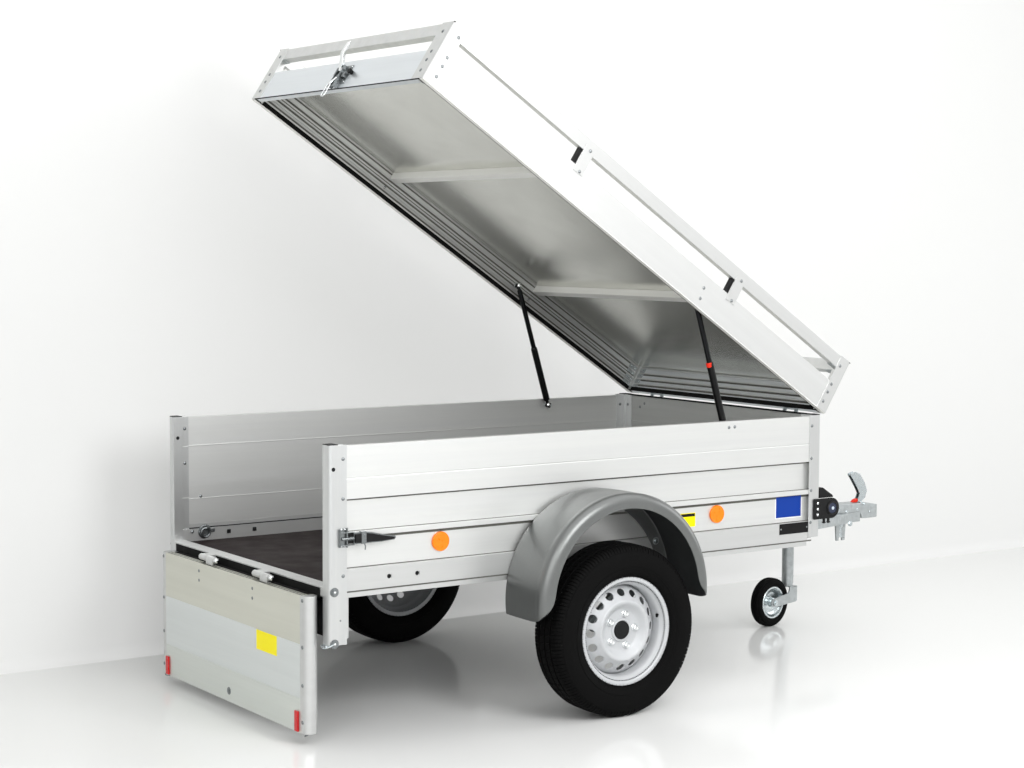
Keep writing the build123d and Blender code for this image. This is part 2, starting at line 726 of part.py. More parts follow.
jockey_spot = Pos(JOCKEY_X, JOCKEY_Y, 0) * Rot(0, 0, JOCKEY_TURN)
jockey_hub = jockey_spot * Pos(-JOCKEY_TRAIL, 0, JOCKEY_R)
save("jockey_clamp", jockey_clamp())
save("jockey_outer_tube", jockey_outer_tube())
save("jockey_fork", jockey_spot * jockey_fork())
save("jockey_tyre", jockey_hub * jockey_tyre())
save("jockey_rim", jockey_hub * jockey_rim())


# ---- tailgate ----
def gate_panel():
    half = GATE_HALF - GATE_PROFILE
    back = GATE_FACE + GATE_PANEL
    groove = 2.0
    section = [(back, GATE_BOTTOM), (GATE_FACE, GATE_BOTTOM)]
    for z in (GATE_TOP - 326, GATE_TOP - 154):
        section += [(GATE_FACE, z - groove), (GATE_FACE + groove, z), (GATE_FACE, z + groove)]
    rail = GATE_TOP - GATE_RAIL
    section += [(GATE_FACE, GATE_TOP), (GATE_FACE + GATE_DEEP, GATE_TOP)]
    section += [(GATE_FACE + GATE_DEEP, rail), (back, rail)]
    return along_y(section, -half, half)


def gate_side_profile():
    radius = GATE_DEEP / 2
    inner = GATE_HALF - GATE_PROFILE
    section = Pos(GATE_PIN_X, (inner + GATE_HALF - radius) / 2) * Rectangle(GATE_DEEP, GATE_PROFILE - radius)
    bead = Pos(GATE_PIN_X, GATE_HALF - radius) * Circle(radius)
    section += bead & (Pos(GATE_PIN_X, GATE_HALF - radius / 2) * Rectangle(GATE_DEEP, radius))
    return Pos(0, 0, GATE_BOTTOM) * extrude(section, amount=GATE_TOP - GATE_BOTTOM)


def gate_fittings():
    low = GATE_BOTTOM + 37
    shape = block(GATE_PIN_X, GATE_PIN_X + 6, -12, 12, low - 12, low + 12)
    shape += rod((GATE_FACE - 4, 0, low), (GATE_FACE, 0, low), 9)
    for y in (-GATE_HINGE_Y, GATE_HINGE_Y):
        leaf = block(GATE_FACE - 3, GATE_FACE, y - 48, y + 3, GATE_TOP - 57, GATE_PIN_Z)
        leaf += block(GATE_FACE - 3, GATE_PIN_X, y - 48, y + 3, GATE_PIN_Z - 11, GATE_PIN_Z)
        leaf += across(GATE_PIN_X, GATE_PIN_Z, y - 48, y + 3, GATE_KNUCKLE_R)
        shape += leaf - across(GATE_PIN_X, GATE_PIN_Z, y - 50, y + 5, GATE_PIN_R + RUN_FIT)
    return shape


save("gate_panel", gate_panel())
save("gate_side_profiles", both(gate_side_profile()))
reflector_y = GATE_HALF - GATE_PROFILE - 5.5
save(
    "gate_reflectors",
    both(block(GATE_FACE - 6, GATE_FACE, reflector_y - 23, reflector_y, GATE_BOTTOM + 3, GATE_BOTTOM + 68)),
)
save("gate_fittings", gate_fittings())


# ---- lid ----
def lid_x(back):
    """X of a point the given distance back from the lid's front face."""
    return LID_FRONT - back


def lid_z(up):
    """Z of a point the given height above the closed lid's lower edge."""
    return LID_EDGE + up


def lid_block(back0, back1, y0, y1, up0, up1):
    return block(lid_x(back1), lid_x(back0), y0, y1, lid_z(up0), lid_z(up1))


def opened(shape):
    """Turn a closed lid piece to its open position about the lid hinge."""
    return shape.rotate(Axis((LID_PIN_X, 0, LID_PIN_Z), (0, 1, 0)), LID_OPEN)


def lid_side():
    lower = lid_block(TUBE_LONG, LID_LENGTH - TUBE_LONG, LID_IN, LID_Y, 0, LID_STEP_B)
    upper = lid_block(TUBE_LONG, LID_LENGTH - TUBE_LONG, LID_STEP_IN, LID_Y, LID_STEP_B, LID_PANEL_B)
    return lower + upper


def lid_end(back0, back1):
    half = LID_POST_Y - LID_TUBE_WIDE
    return lid_block(back0, back1, -half, half, 0, LID_PANEL_B)


def lid_roof():
    roof = lid_block(LID_WALL, LID_LENGTH - LID_WALL, -LID_STEP_IN, LID_STEP_IN, LID_PANEL_B - LID_ROOF, LID_PANEL_B)
    notch_y = LID_POST_Y - LID_TUBE_WIDE
    for back0, back1 in ((0, TUBE_LONG), (LID_LENGTH - TUBE_LONG, LID_LENGTH)):
        roof -= both(lid_block(back0, back1, notch_y, LID_Y, 0, LID_HIGH))
    return roof


def lid_corner_post():
    section = post_outline(LID_SIDE_FLANGE, LID_END_FLANGE, LID_TUBE_WIDE)
    rear = extrude(section, amount=LID_HIGH)
    rear = Pos(lid_x(LID_LENGTH), LID_POST_Y, LID_EDGE) * mirror(rear, about=Plane.XZ)
    front = extrude(section, amount=LID_HIGH)
    front = Pos(LID_FRONT, LID_POST_Y, LID_EDGE) * Rot(0, 0, 180) * front
    return rear + front


def lid_rails():
    side = lid_block(TUBE_LONG, LID_LENGTH - TUBE_LONG, LID_Y - LID_WALL, LID_Y, LID_RAIL_LOW, LID_RAIL_TOP)
    half = LID_POST_Y - LID_TUBE_WIDE
    front = lid_block(SKIN, SKIN + LID_WALL, -half, half, LID_RAIL_LOW, LID_RAIL_TOP)
    rear = lid_block(LID_LENGTH - SKIN - LID_WALL, LID_LENGTH - SKIN, -half, half, LID_RAIL_LOW, LID_RAIL_TOP)
    return both(side) + front + rear


def lid_brace(back):
    half = LID_BRACE / 2
    return lid_block(back - half, back + half, -LID_STEP_IN, LID_STEP_IN, 81, LID_PANEL_B - LID_ROOF)


def lid_seal():
    outer = lid_block(4, LID_LENGTH - 4, -LID_Y, LID_Y, -SEAL_THICK, 0)
    return outer - lid_block(24, LID_LENGTH - 24, -LID_IN, LID_IN, -SEAL_THICK - 1, 1)


def lid_rail_bracket(back):
    plate = lid_block(back - 48, back + 5, LID_Y, LID_Y + SKIN, 85, 195)
    spacer = lid_block(back + 5, back + 25, LID_Y - LID_WALL, LID_Y, LID_PANEL_B, LID_RAIL_LOW)
    return plate + spacer


def lid_latch():
    face = LID_LENGTH - SKIN
    base = lid_block(face, face + 12, -80, 10, 25, 95)
    lever_points = [(face + 10, 92), (face + 12, 60), (face + 30, 80), (face + 74, 160), (face + 66, 166)]
    lever = along_y([(lid_x(a), lid_z(b)) for a, b in lever_points], -38, -22)
    knob = rod((lid_x(face), -70, lid_z(66)), (lid_x(face + 24), -70, lid_z(66)), 9)
    link = lid_block(face + 8, face + 35, -46, -18, 14, 30)
    loop = lid_block(face + 30, face + 35, -46, -18, -40, 20)
    loop -= lid_block(face + 29, face + 36, -40, -24, -34, 12)
    return base + lever + knob + link + loop


def lid_fittings():
    stud_x = lid_x(STRUT_STUD_A)
    stud_z = lid_z(STRUT_STUD_B)
    shape = both(across(stud_x, stud_z, STRUT_Y + STRUT_EYE_HALF + 2.3, LID_IN, STUD_R))
    outer = LID_FRONT - SKIN
    for y in (-LID_HINGE_Y, LID_HINGE_Y):
        leaf = block(outer, outer + 3.5, y - 41, y + 41, lid_z(2), lid_z(60))
        for y0 in (y - 41, y + 21):
            leaf += block(outer, outer + 3.5, y0, y0 + 20, LID_PIN_Z, lid_z(10))
            leaf += across(LID_PIN_X, LID_PIN_Z, y0, y0 + 20, LID_KNUCKLE_R)
        shape += leaf - across(LID_PIN_X, LID_PIN_Z, y - 50, y + 50, LID_PIN_R + RUN_FIT)
    return shape


save_pair("lid_side", opened(lid_side()))
save(
    "lid_end_panels",
    opened(lid_end(SKIN, LID_WALL)),
    opened(lid_end(LID_LENGTH - LID_WALL, LID_LENGTH - SKIN)),
)
save("lid_roof", opened(lid_roof()))
save("lid_corner_posts", opened(both(lid_corner_post())))
save("lid_rails", opened(lid_rails()))
save("lid_braces", opened(lid_brace(LID_BRACE_FRONT) + lid_brace(LID_BRACE_REAR)))
save("lid_seal", opened(lid_seal()))
save("lid_rail_brackets", opened(both(lid_rail_bracket(LID_BRACE_FRONT) + lid_rail_bracket(LID_BRACE_REAR + 5))))
save("lid_latch", opened(lid_latch()))
save("lid_fittings", opened(lid_fittings()))


# ---- gas struts ----
def strut_top():
    """Open position of the lid's strut stud, as (x, z)."""
    angle = math.radians(LID_OPEN)
    dx = lid_x(STRUT_STUD_A) - LID_PIN_X
    dz = lid_z(STRUT_STUD_B) - LID_PIN_Z
    x = dx * math.cos(angle) + dz * math.sin(angle)
    z = dz * math.cos(angle) - dx * math.sin(angle)
    return LID_PIN_X + x, LID_PIN_Z + z


def strut_parts():
    top_x, top_z = strut_top()
    foot = Vector(STRUT_FOOT_X, STRUT_Y, STRUT_FOOT_Z)
    top = Vector(top_x, STRUT_Y, top_z)
    along = (top - foot).normalized()
    y0 = STRUT_Y - STRUT_EYE_HALF
    y1 = STRUT_Y + STRUT_EYE_HALF
    tube = rod(foot + along * 18, foot + along * STRUT_TUBE_LONG, STRUT_TUBE_R)
    tube += rod(foot + along * 7, foot + along * 20, STRUT_NECK_R)
    tube += across(foot.X, foot.Z, y0, y1, STRUT_EYE_R + 1)
    tube -= across(foot.X, foot.Z, y0 - 1, y1 + 1, STUD_R + RUN_FIT)
    bore_end = foot + along * (STRUT_TUBE_LONG + 1)
    tube -= rod(foot + along * 25, bore_end, STRUT_BORE_R)
    rod_piece = rod(top - along * ROD_LONG, top - along * 16, STRUT_ROD_R)
    rod_piece += rod(top - along * 18, top - along * 5, STRUT_NECK_R)
    rod_piece += across(top.X, top.Z, y0, y1, STRUT_EYE_R)
    return tube, rod_piece


strut_tube, strut_rod = strut_parts()
save_pair("strut_tube", strut_tube)
save_pair("strut_rod", strut_rod)
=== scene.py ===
import json
import math

import bmesh
import bpy
from bpy.props import FloatProperty, FloatVectorProperty, IntProperty, PointerProperty
from mathutils import Matrix, Vector

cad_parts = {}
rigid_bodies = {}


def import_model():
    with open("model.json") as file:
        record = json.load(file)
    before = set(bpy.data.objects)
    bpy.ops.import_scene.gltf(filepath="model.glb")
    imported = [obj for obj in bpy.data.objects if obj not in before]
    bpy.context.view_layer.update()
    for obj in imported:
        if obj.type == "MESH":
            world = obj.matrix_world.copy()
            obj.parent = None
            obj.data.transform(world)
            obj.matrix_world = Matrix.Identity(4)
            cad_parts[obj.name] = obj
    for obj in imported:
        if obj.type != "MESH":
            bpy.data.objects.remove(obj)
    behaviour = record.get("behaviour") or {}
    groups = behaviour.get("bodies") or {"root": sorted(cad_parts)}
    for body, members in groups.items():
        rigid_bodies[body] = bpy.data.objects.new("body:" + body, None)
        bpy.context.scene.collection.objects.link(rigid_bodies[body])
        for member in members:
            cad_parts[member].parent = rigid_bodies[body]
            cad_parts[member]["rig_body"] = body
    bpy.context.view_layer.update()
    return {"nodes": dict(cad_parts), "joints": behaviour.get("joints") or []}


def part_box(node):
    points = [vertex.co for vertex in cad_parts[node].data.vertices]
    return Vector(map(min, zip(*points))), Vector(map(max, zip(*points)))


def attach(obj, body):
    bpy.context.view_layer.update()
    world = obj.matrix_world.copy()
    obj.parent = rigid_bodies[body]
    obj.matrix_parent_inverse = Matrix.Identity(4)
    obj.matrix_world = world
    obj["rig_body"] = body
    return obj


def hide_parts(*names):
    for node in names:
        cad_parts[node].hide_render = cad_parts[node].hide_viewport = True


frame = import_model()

bl_info = {
    "name": "Lidded utility trailer",
    "version": (1, 0, 0),
    "blender": (4, 5, 0),
    "location": "View3D > Sidebar > Trailer",
    "description": "Dresses the packed trailer frame with detailed pieces and finishes",
    "category": "Object",
}

MM = 0.001
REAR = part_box("rear_post_left")[0].x
JOINTS = {joint["name"]: joint for joint in frame["joints"]}
SIDES = (("left", 1), ("right", -1))
AHEAD, BACK, OUT, IN = (1, 0, 0), (-1, 0, 0), (0, 1, 0), (0, -1, 0)
LID_FRONT = 2074.0
LID_EDGE = 952.0
LID_LENGTH = 2085.0
POST_FACE = 585.8
WALL_FACE = 569.3
AXLE_X = 1015
TRACK = 714.5
TYRE_R = 289
WASHER = 1.35


# ---------------------------------------------------------------- places and turns
def spot(x, y, z):
    """Row-frame point from millimetres: forward of the rear posts, left, up."""
    return Vector((REAR + x * MM, y * MM, z * MM))


def lid_spot(back, y, up):
    """Point on the closed lid: back from its front face, left, up from its lower edge."""
    return spot(LID_FRONT - back, y, LID_EDGE + up)


def lid_turn():
    """Matrix that takes a closed lid piece to its open rest place."""
    joint = JOINTS["lid_hinge"]
    pivot = Vector(joint["pos_m"])
    turn = Matrix.Rotation(-math.radians(joint["range_deg"][0]), 4, Vector(joint["axis"]))
    return Matrix.Translation(pivot) @ turn @ Matrix.Translation(-pivot)


LID_TURN = lid_turn()


# ---------------------------------------------------------------- colour and nodes
def linear(code):
    """Linear colour of an sRGB hex code."""
    parts = [int(code[i:i + 2], 16) / 255 for i in (1, 3, 5)]
    parts = [c / 12.92 if c <= 0.04045 else ((c + 0.055) / 1.055) ** 2.4 for c in parts]
    return (*parts, 1.0)


def add_node(tree, kind, settings=None, inputs=None):
    """Add one node, set its properties, and set or link its inputs."""
    made = tree.nodes.new(kind)
    for name, value in (settings or {}).items():
        setattr(made, name, value)
    for name, value in (inputs or {}).items():
        if isinstance(value, bpy.types.NodeSocket):
            tree.links.new(value, made.inputs[name])
        else:
            made.inputs[name].default_value = value
    return made


def maths(tree, operation, first, second, **settings):
    """Result of a sum on two values or sockets."""
    settings["operation"] = operation
    return add_node(tree, "ShaderNodeMath", settings, {0: first, 1: second}).outputs[0]


def pattern(tree, kind, coords, size_mm, output, settings=None, **inputs):
    """One output of a texture node whose cells are about a size in millimetres."""
    inputs = {"Vector": coords, "Scale": 1 / (size_mm * MM), **inputs}
    return add_node(tree, "ShaderNodeTex" + kind, settings, inputs).outputs[output]


def add_relief(tree, shader, height, depth_mm):
    """Add a height pattern on top of the relief that a material already has."""
    bump = add_node(
        tree, "ShaderNodeBump", inputs={"Height": height, "Distance": depth_mm * MM, "Strength": 1.0})
    if shader.inputs["Normal"].is_linked:
        tree.links.new(shader.inputs["Normal"].links[0].from_socket, bump.inputs["Normal"])
    tree.links.new(bump.outputs[0], shader.inputs["Normal"])


def add_tint(tree, shader, tone, blend, share):
    """Blend a share of a pattern into a material's colour."""
    old = shader.inputs["Base Color"].links[0].from_socket
    mixed = add_node(
        tree, "ShaderNodeMix", {"data_type": "RGBA", "blend_type": blend}, {0: share, 6: old, 7: tone})
    tree.links.new(mixed.outputs[2], shader.inputs["Base Color"])


def grey(tree, colour):
    """Brightness of a colour pattern."""
    return add_node(tree, "ShaderNodeRGBToBW", inputs={"Color": colour}).outputs[0]


def surface(name, base, shade, rough, metallic, cloud_mm, spread, grain=None, stretch=(1, 1, 1), lean=0.0,
            **constants):
    """Material whose colour and gloss drift in soft clouds, with a fine grain of (size, depth) millimetres.

    Returns the material, its tree, its shader and the coordinates for further patterns.
    """
    material = bpy.data.materials.new(name)
    material.use_nodes = True
    tree = material.node_tree
    tree.nodes.clear()
    coords = add_node(tree, "ShaderNodeTexCoord").outputs["Object"]
    if lean:
        turned = {"Vector": coords, "Rotation": (0, lean, 0)}
        coords = add_node(tree, "ShaderNodeMapping", inputs=turned).outputs[0]
    place = add_node(tree, "ShaderNodeMapping", inputs={"Vector": coords, "Scale": stretch}).outputs[0]
    clouds = pattern(tree, "Noise", place, cloud_mm, "Fac", Detail=5.0, Roughness=0.6)
    drift = {"Value": clouds, "From Min": 0.3, "From Max": 0.7}
    soft = add_node(tree, "ShaderNodeMapRange", inputs=drift).outputs[0]
    colour = add_node(
        tree, "ShaderNodeMix", {"data_type": "RGBA"}, {0: soft, 6: linear(base), 7: linear(shade)}).outputs[2]
    drift.update({"To Min": rough - spread, "To Max": rough + spread})
    gloss = add_node(tree, "ShaderNodeMapRange", inputs=drift).outputs[0]
    look = {"Base Color": colour, "Roughness": gloss, "Metallic": metallic}
    shader = add_node(tree, "ShaderNodeBsdfPrincipled", inputs=look)
    for key, value in constants.items():
        shader.inputs[key.replace("_", " ").title().replace("Ior", "IOR")].default_value = value
    if grain:
        grain_mm, depth_mm = grain
        add_relief(tree, shader, pattern(tree, "Noise", place, grain_mm, "Fac", Detail=3.0), depth_mm)
    add_node(tree, "ShaderNodeOutputMaterial", inputs={"Surface": shader.outputs[0]})
    return material, tree, shader, coords


# ---------------------------------------------------------------- finishes
LEAN = math.radians(JOINTS["lid_hinge"]["range_deg"][0])
ALONG_X = (0.02, 1, 1)
ALONG_Y = (1, 0.02, 1)
UPRIGHT = (1, 1, 0.03)


def plank_aluminium(name, base, shade, stretch=ALONG_X, lean=0.0):
    """Extruded aluminium plank in mill finish: long faint die lines and a satin shine."""
    return surface(name, base, shade, 0.38, 0.7, 30, 0.03, (1.2, 0.02), stretch, lean)[0]


def post_aluminium():
    """Extruded aluminium post: the same die lines, running upright."""
    return surface("extruded aluminium post", "#CFD0CF", "#C5C7C7", 0.34, 0.85, 30, 0.05, (1.2, 0.03),
                   UPRIGHT)[0]


def rail_aluminium(name, lean=0.0):
    """Anodised aluminium rail: cleaner and a little duller than the planks."""
    return surface(name, "#CBCCCB", "#C4C5C4", 0.38, 0.75, 40, 0.03, (1.5, 0.02), (0.03, 1, 1), lean)[0]


def brace_aluminium():
    """Brushed aluminium channel: fine scratches scatter the light, so it stays pale in the shade."""
    return surface("brushed aluminium channel", "#F0F0EC", "#E8E8E3", 0.5, 0.15, 30, 0.04, (1.2, 0.03),
                   ALONG_Y)[0]


def rivet_steel():
    """Rivet heads in bare steel: darker than the aluminium around them."""
    return surface("bare steel rivet", "#8B8F90", "#75797A", 0.3, 0.9, 6, 0.05)[0]


def stucco_aluminium():
    """Stucco-embossed aluminium sheet: small pressed dimples that break up the reflections."""
    material, tree, shader, coords = surface(
        "stucco embossed aluminium", "#E2E2DC", "#DADAD4", 0.2, 0.9, 120, 0.02, lean=LEAN)
    add_relief(tree, shader, pattern(tree, "Voronoi", coords, 8, "Distance", Randomness=0.35), 0.3)
    return material


def film_ply():
    """Film-faced plywood: dark phenolic film pressed with a fine wire mesh."""
    material, tree, shader, coords = surface(
        "film faced plywood", "#201515", "#1A1111", 0.66, 0.0, 80, 0.06, specular_ior_level=0.12)
    weave = [
        pattern(tree, "Wave", coords, 5 * math.tau, "Fac", {"bands_direction": direction}, Distortion=0.0)
        for direction in ("X", "Y")
    ]
    add_relief(tree, shader, maths(tree, "MAXIMUM", *weave), 0.2)
    return material


def galvanised_steel():
    """Hot-dip galvanised steel: overlapping crystal spangle in slightly different greys."""
    material, tree, shader, coords = surface(
        "hot dip galvanised steel", "#B7BCBD", "#A9AEAF", 0.44, 0.7, 25, 0.05, (3, 0.04))
    add_tint(tree, shader, grey(tree, pattern(tree, "Voronoi", coords, 14, "Color")), "MULTIPLY", 0.16)
    return material


def painted_step_shade():
    """Painted shade under the steps between planks: a dull grey line that stands for the shadow there."""
    return surface("painted shade under plank steps", "#6A6A65", "#61615C", 0.8, 0.0, 60, 0.05, stretch=ALONG_X,
                   specular_ior_level=0.1)[0]


def zinc_plate():
    """Zinc-plated steel with a blue passivation: bright with a faint cool tint."""
    return surface("zinc plated steel", "#CDD3D4", "#B5BEC1", 0.24, 0.95, 12, 0.07, (2, 0.03))[0]


def chromed_steel():
    """Chromed steel: bright and nearly mirror smooth."""
    return surface("chromed steel", "#E4E6E6", "#D3D6D7", 0.1, 1.0, 15, 0.04)[0]


def black_polymer():
    """Moulded black ABS: a fine spark-eroded grain keeps the shine broken."""
    return surface("moulded black ABS", "#08090A", "#0D0D0E", 0.5, 0.0, 20, 0.06, (0.8, 0.05),
                   specular_ior_level=0.22)[0]


def silver_polymer():
    """Silver-pigmented polypropylene: metal flake under a smooth moulded skin."""
    material, tree, shader, coords = surface(
        "silver polypropylene", "#6E706F", "#696B6A", 0.32, 0.55, 200, 0.02, (2.5, 0.012),
        specular_ior_level=0.4)
    add_tint(tree, shader, grey(tree, pattern(tree, "Voronoi", coords, 1.6, "Color")), "OVERLAY", 0.05)
    return material


def painted_guard_shade():
    """Back of the silver moulding: duller, and darker than the skin as painted shade under the guard."""
    return surface("mudguard underside painted shade", "#2A2C2D", "#252728", 0.6, 0.2, 90, 0.05, (2, 0.04))[0]


def silver_enamel():
    """Silver enamel on pressed steel: smooth, even paint with a soft shine."""
    return surface("silver enamel", "#BBBDBF", "#B6B8BA", 0.5, 0.15, 60, 0.02, specular_ior_level=0.3)[0]


def tyre_rubber():
    """Cured tyre rubber: deep matt black with barely a shine."""
    return surface("cured tyre rubber", "#040404", "#070707", 0.76, 0.0, 35, 0.06, (1.0, 0.05),
                   specular_ior_level=0.08)[0]


def seal_rubber():
    """EPDM rubber: soft dull black."""
    return surface("EPDM rubber", "#080808", "#0D0D0D", 0.7, 0.0, 15, 0.06, (0.8, 0.04),
                   specular_ior_level=0.15)[0]


def powder_coat():
    """Black powder coat over steel: even, with a slight orange peel."""
    return surface("black powder coat", "#040405", "#060607", 0.34, 0.0, 25, 0.05, (2.0, 0.05),
                   specular_ior_level=0.2)[0]


def nitrided_rod():
    """Nitrided steel rod: dark, polished and slightly oily."""
    return surface("nitrided steel", "#1B1C1E", "#131415", 0.2, 0.8, 10, 0.05)[0]


def prism_lens(name, base, shade):
    """Moulded acrylic lens: small prisms behind a smooth clear face."""
    material, tree, shader, coords = surface(
        name, base, shade, 0.3, 0.0, 12, 0.04, coat_weight=0.2, coat_roughness=0.08, specular_ior_level=0.3)
    prisms = pattern(tree, "Voronoi", coords, 3, "Distance", {"distance": "CHEBYCHEV"}, Randomness=0.0)
    add_relief(tree, shader, prisms, 0.3)
    add_tint(tree, shader, prisms, "MULTIPLY", 0.12)
    return material


def vinyl(name, colour):
    """Printed vinyl film: flat colour with a soft gloss."""
    return surface(name, colour, colour, 0.4, 0.0, 30, 0.04, (4, 0.02), specular_ior_level=0.2)[0]


FINISH = {
    "plank": plank_aluminium("extruded aluminium plank", "#DADBD9", "#D3D4D3"),
    "plank_across": plank_aluminium("aluminium end plank", "#D6DADD", "#D0D4D7", ALONG_Y),
    # Darker tone for the front wall: painted shade, for the wall that stands in the box's shade.
    "plank_shaded_front": plank_aluminium("aluminium front plank with painted shade", "#A9AAA8", "#A2A3A1", ALONG_Y),
    "plank_lid": plank_aluminium("aluminium lid plank", "#D2D3D2", "#CCCDCC", ALONG_X, LEAN),
    "plank_bright": plank_aluminium("pale aluminium plank", "#D8DCDB", "#D3D7D6", ALONG_Y),
    "plank_warm": plank_aluminium("straw-toned aluminium plank", "#D0D0C5", "#CBCBC0", ALONG_Y),
    "plank_dull": plank_aluminium("dull aluminium plank", "#D3D7D2", "#CED2CD", ALONG_Y),
    "post": post_aluminium(),
    "rail": rail_aluminium("anodised aluminium rail"),
    "rail_lid": rail_aluminium("anodised aluminium lid rail", LEAN),
    "brace": brace_aluminium(),
    "rivet": rivet_steel(),
    "step_shade": painted_step_shade(),
    "stucco": stucco_aluminium(),
    "ply": film_ply(),
    "galvanised": galvanised_steel(),
    "zinc": zinc_plate(),
    "chrome": chromed_steel(),
    "black": black_polymer(),
    "guard": silver_polymer(),
    "guard_painted_shade": painted_guard_shade(),
    "enamel": silver_enamel(),
    "tyre": tyre_rubber(),
    "seal": seal_rubber(),
    "powder": powder_coat(),
    "rod": nitrided_rod(),
    "red": prism_lens("red acrylic lens", "#DC0A12", "#C8060E"),
    "amber": prism_lens("amber acrylic reflector", "#FF7E00", "#FF8A08"),
    "clear": prism_lens("clear polycarbonate lens", "#C9D3DC", "#B4C2CF"),
    "smoked": prism_lens("smoked polycarbonate lens", "#27304A", "#1D2438"),
    "red_cap": vinyl("red polyamide", "#E0301C"),
    "blue_film": vinyl("blue vinyl film", "#08368F"),
    "white_film": vinyl("white vinyl film", "#EDEFF0"),
    "yellow_film": vinyl("yellow vinyl film", "#FFF000"),
    "black_plate": vinyl("black printed plate", "#060607"),
}


# ---------------------------------------------------------------- mesh building
def soften(bm, edges, radius):
    """Round edges by a radius in millimetres."""
    bmesh.ops.bevel(bm, geom=list(set(edges)), offset=radius * MM, segments=2, profile=0.5, affect="EDGES")


def add_box(bm, low, high, bevel):
    """Box between two corners in metres, its edges rounded by millimetres."""
    size = high - low
    made = bmesh.ops.create_cube(bm, size=1.0)["verts"]
    place = Matrix.Translation((low + high) / 2) @ Matrix.Diagonal((abs(size.x), abs(size.y), abs(size.z), 1))
    bmesh.ops.transform(bm, matrix=place, verts=made)
    soften(bm, [edge for vert in made for edge in vert.link_edges], bevel)


def join_rings(bm, rings, around=True):
    """Faces between neighbouring rows of vertices, each row closed in a ring or left open."""
    faces = []
    for a, b in zip(rings, rings[1:]):
        size = len(a)
        for k in range(size if around else size - 1):
            n = (k + 1) % size
            faces.append(bm.faces.new((a[k], a[n], b[n], b[k])))
    return faces


def add_turned(bm, profile, place, steps):
    """Closed (along, radius) outline in millimetres turned about local Y, then placed by a matrix."""
    rings = []
    for index in range(steps):
        angle = math.tau * index / steps
        out = Vector((math.cos(angle), 0, math.sin(angle)))
        rings.append([bm.verts.new(place @ ((out * r + Vector((0, w, 0))) * MM)) for w, r in profile])
    join_rings(bm, rings + rings[:1])


def add_prism(bm, outline, low, high, bevel, origin=REAR):
    """Closed (x, z) outline carried from y = low to y = high, in millimetres, with rounded edges."""
    ends = [[bm.verts.new((origin + x * MM, y * MM, z * MM)) for x, z in outline] for y in (low, high)]
    faces = [bm.faces.new(ends[0]), bm.faces.new(ends[1][::-1])] + join_rings(bm, ends)
    soften(bm, [edge for face in faces for edge in face.edges], bevel)


def smooth_path(points, steps, closed=False):
    """Points along a soft curve through the given ones."""
    count = len(points)
    out = []
    for i in range(count if closed else count - 1):
        if closed:
            a, b, c, d = (points[(i + k) % count] for k in (-1, 0, 1, 2))
        else:
            a, b, c, d = (points[min(max(i + k, 0), count - 1)] for k in (-1, 0, 1, 2))
        for k in range(steps):
            t = k / steps
            bend = (2 * a - 5 * b + 4 * c - d) * t * t + (3 * b - a - 3 * c + d) * t ** 3
            out.append(0.5 * (2 * b + (c - a) * t + bend))
    return out if closed else out + [points[-1]]


def add_tube(bm, path, radius, sides, closed=False):
    """Round bar along points in metres; its radius, in millimetres, may be one for each point."""
    count = len(path)
    sizes = radius if isinstance(radius, list) else [radius] * count
    normal = None
    rings = []
    for i, (point, size) in enumerate(zip(path, sizes)):
        before = path[i - 1] if closed or i else point
        after = path[(i + 1) % count] if closed or i < count - 1 else point
        along = (after - before).normalized()
        if normal is None:
            normal = along.orthogonal().normalized()
        normal = (normal - along * normal.dot(along)).normalized()
        other = along.cross(normal)
        ring = []
        for k in range(sides):
            angle = math.tau * k / sides
            out = normal * math.cos(angle) + other * math.sin(angle)
            ring.append(bm.verts.new(point + out * size * MM))
        rings.append(ring)
    if closed:
        join_rings(bm, rings + rings[:1])
    else:
        join_rings(bm, rings)
        bm.faces.new(rings[0][::-1])
        bm.faces.new(rings[-1])


def add_round(bm, start, end, radius, sides, bevel):
    """Straight round bar between points in metres, its radius and softened ends in millimetres."""
    inset = (end - start).normalized() * bevel * MM
    path = [start, start + inset, end - inset, end]
    add_tube(bm, path, [radius - bevel, radius, radius, radius - bevel], sides)


def mirror(bm):
    """Add a copy of everything so far on the other side of the trailer."""
    copy = bmesh.ops.duplicate(bm, geom=bm.verts[:] + bm.edges[:] + bm.faces[:])["geom"]
    verts = [item for item in copy if isinstance(item, bmesh.types.BMVert)]
    bmesh.ops.transform(bm, matrix=Matrix.Diagonal((1, -1, 1, 1)), verts=verts)


def loose_mesh(bm, name, *finishes):
    """Mesh with its finishes from a bmesh, not yet linked."""
    mesh = bpy.data.meshes.new(name)
    bm.to_mesh(mesh)
    bm.free()
    for finish in finishes:
        mesh.materials.append(FINISH[finish])
    return mesh


def link_piece(mesh, name, body, replaces=(), smooth=35.0):
    """Even out a mesh's shading, link it to the scene and let it ride on its body."""
    mesh.shade_smooth()
    mesh.set_sharp_from_angle(angle=math.radians(smooth))
    piece = bpy.data.objects.new(name, mesh)
    bpy.context.scene.collection.objects.link(piece)
    modifier = piece.modifiers.new("even normals", "WEIGHTED_NORMAL")
    modifier.keep_sharp = True
    ready = piece.evaluated_get(bpy.context.evaluated_depsgraph_get())
    piece.data = bpy.data.meshes.new_from_object(ready)
    piece.data.name = name
    piece.modifiers.clear()
    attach(piece, body)
    if replaces:
        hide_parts(*replaces)


def finish_piece(bm, name, body, finish, replaces=(), turn=None):
    """Turn a bmesh into a finished piece that rides on its body."""
    if turn is not None:
        bmesh.ops.transform(bm, matrix=turn, verts=bm.verts[:])
    bmesh.ops.recalc_face_normals(bm, faces=bm.faces[:])
    link_piece(loose_mesh(bm, name, finish), name, body, replaces)


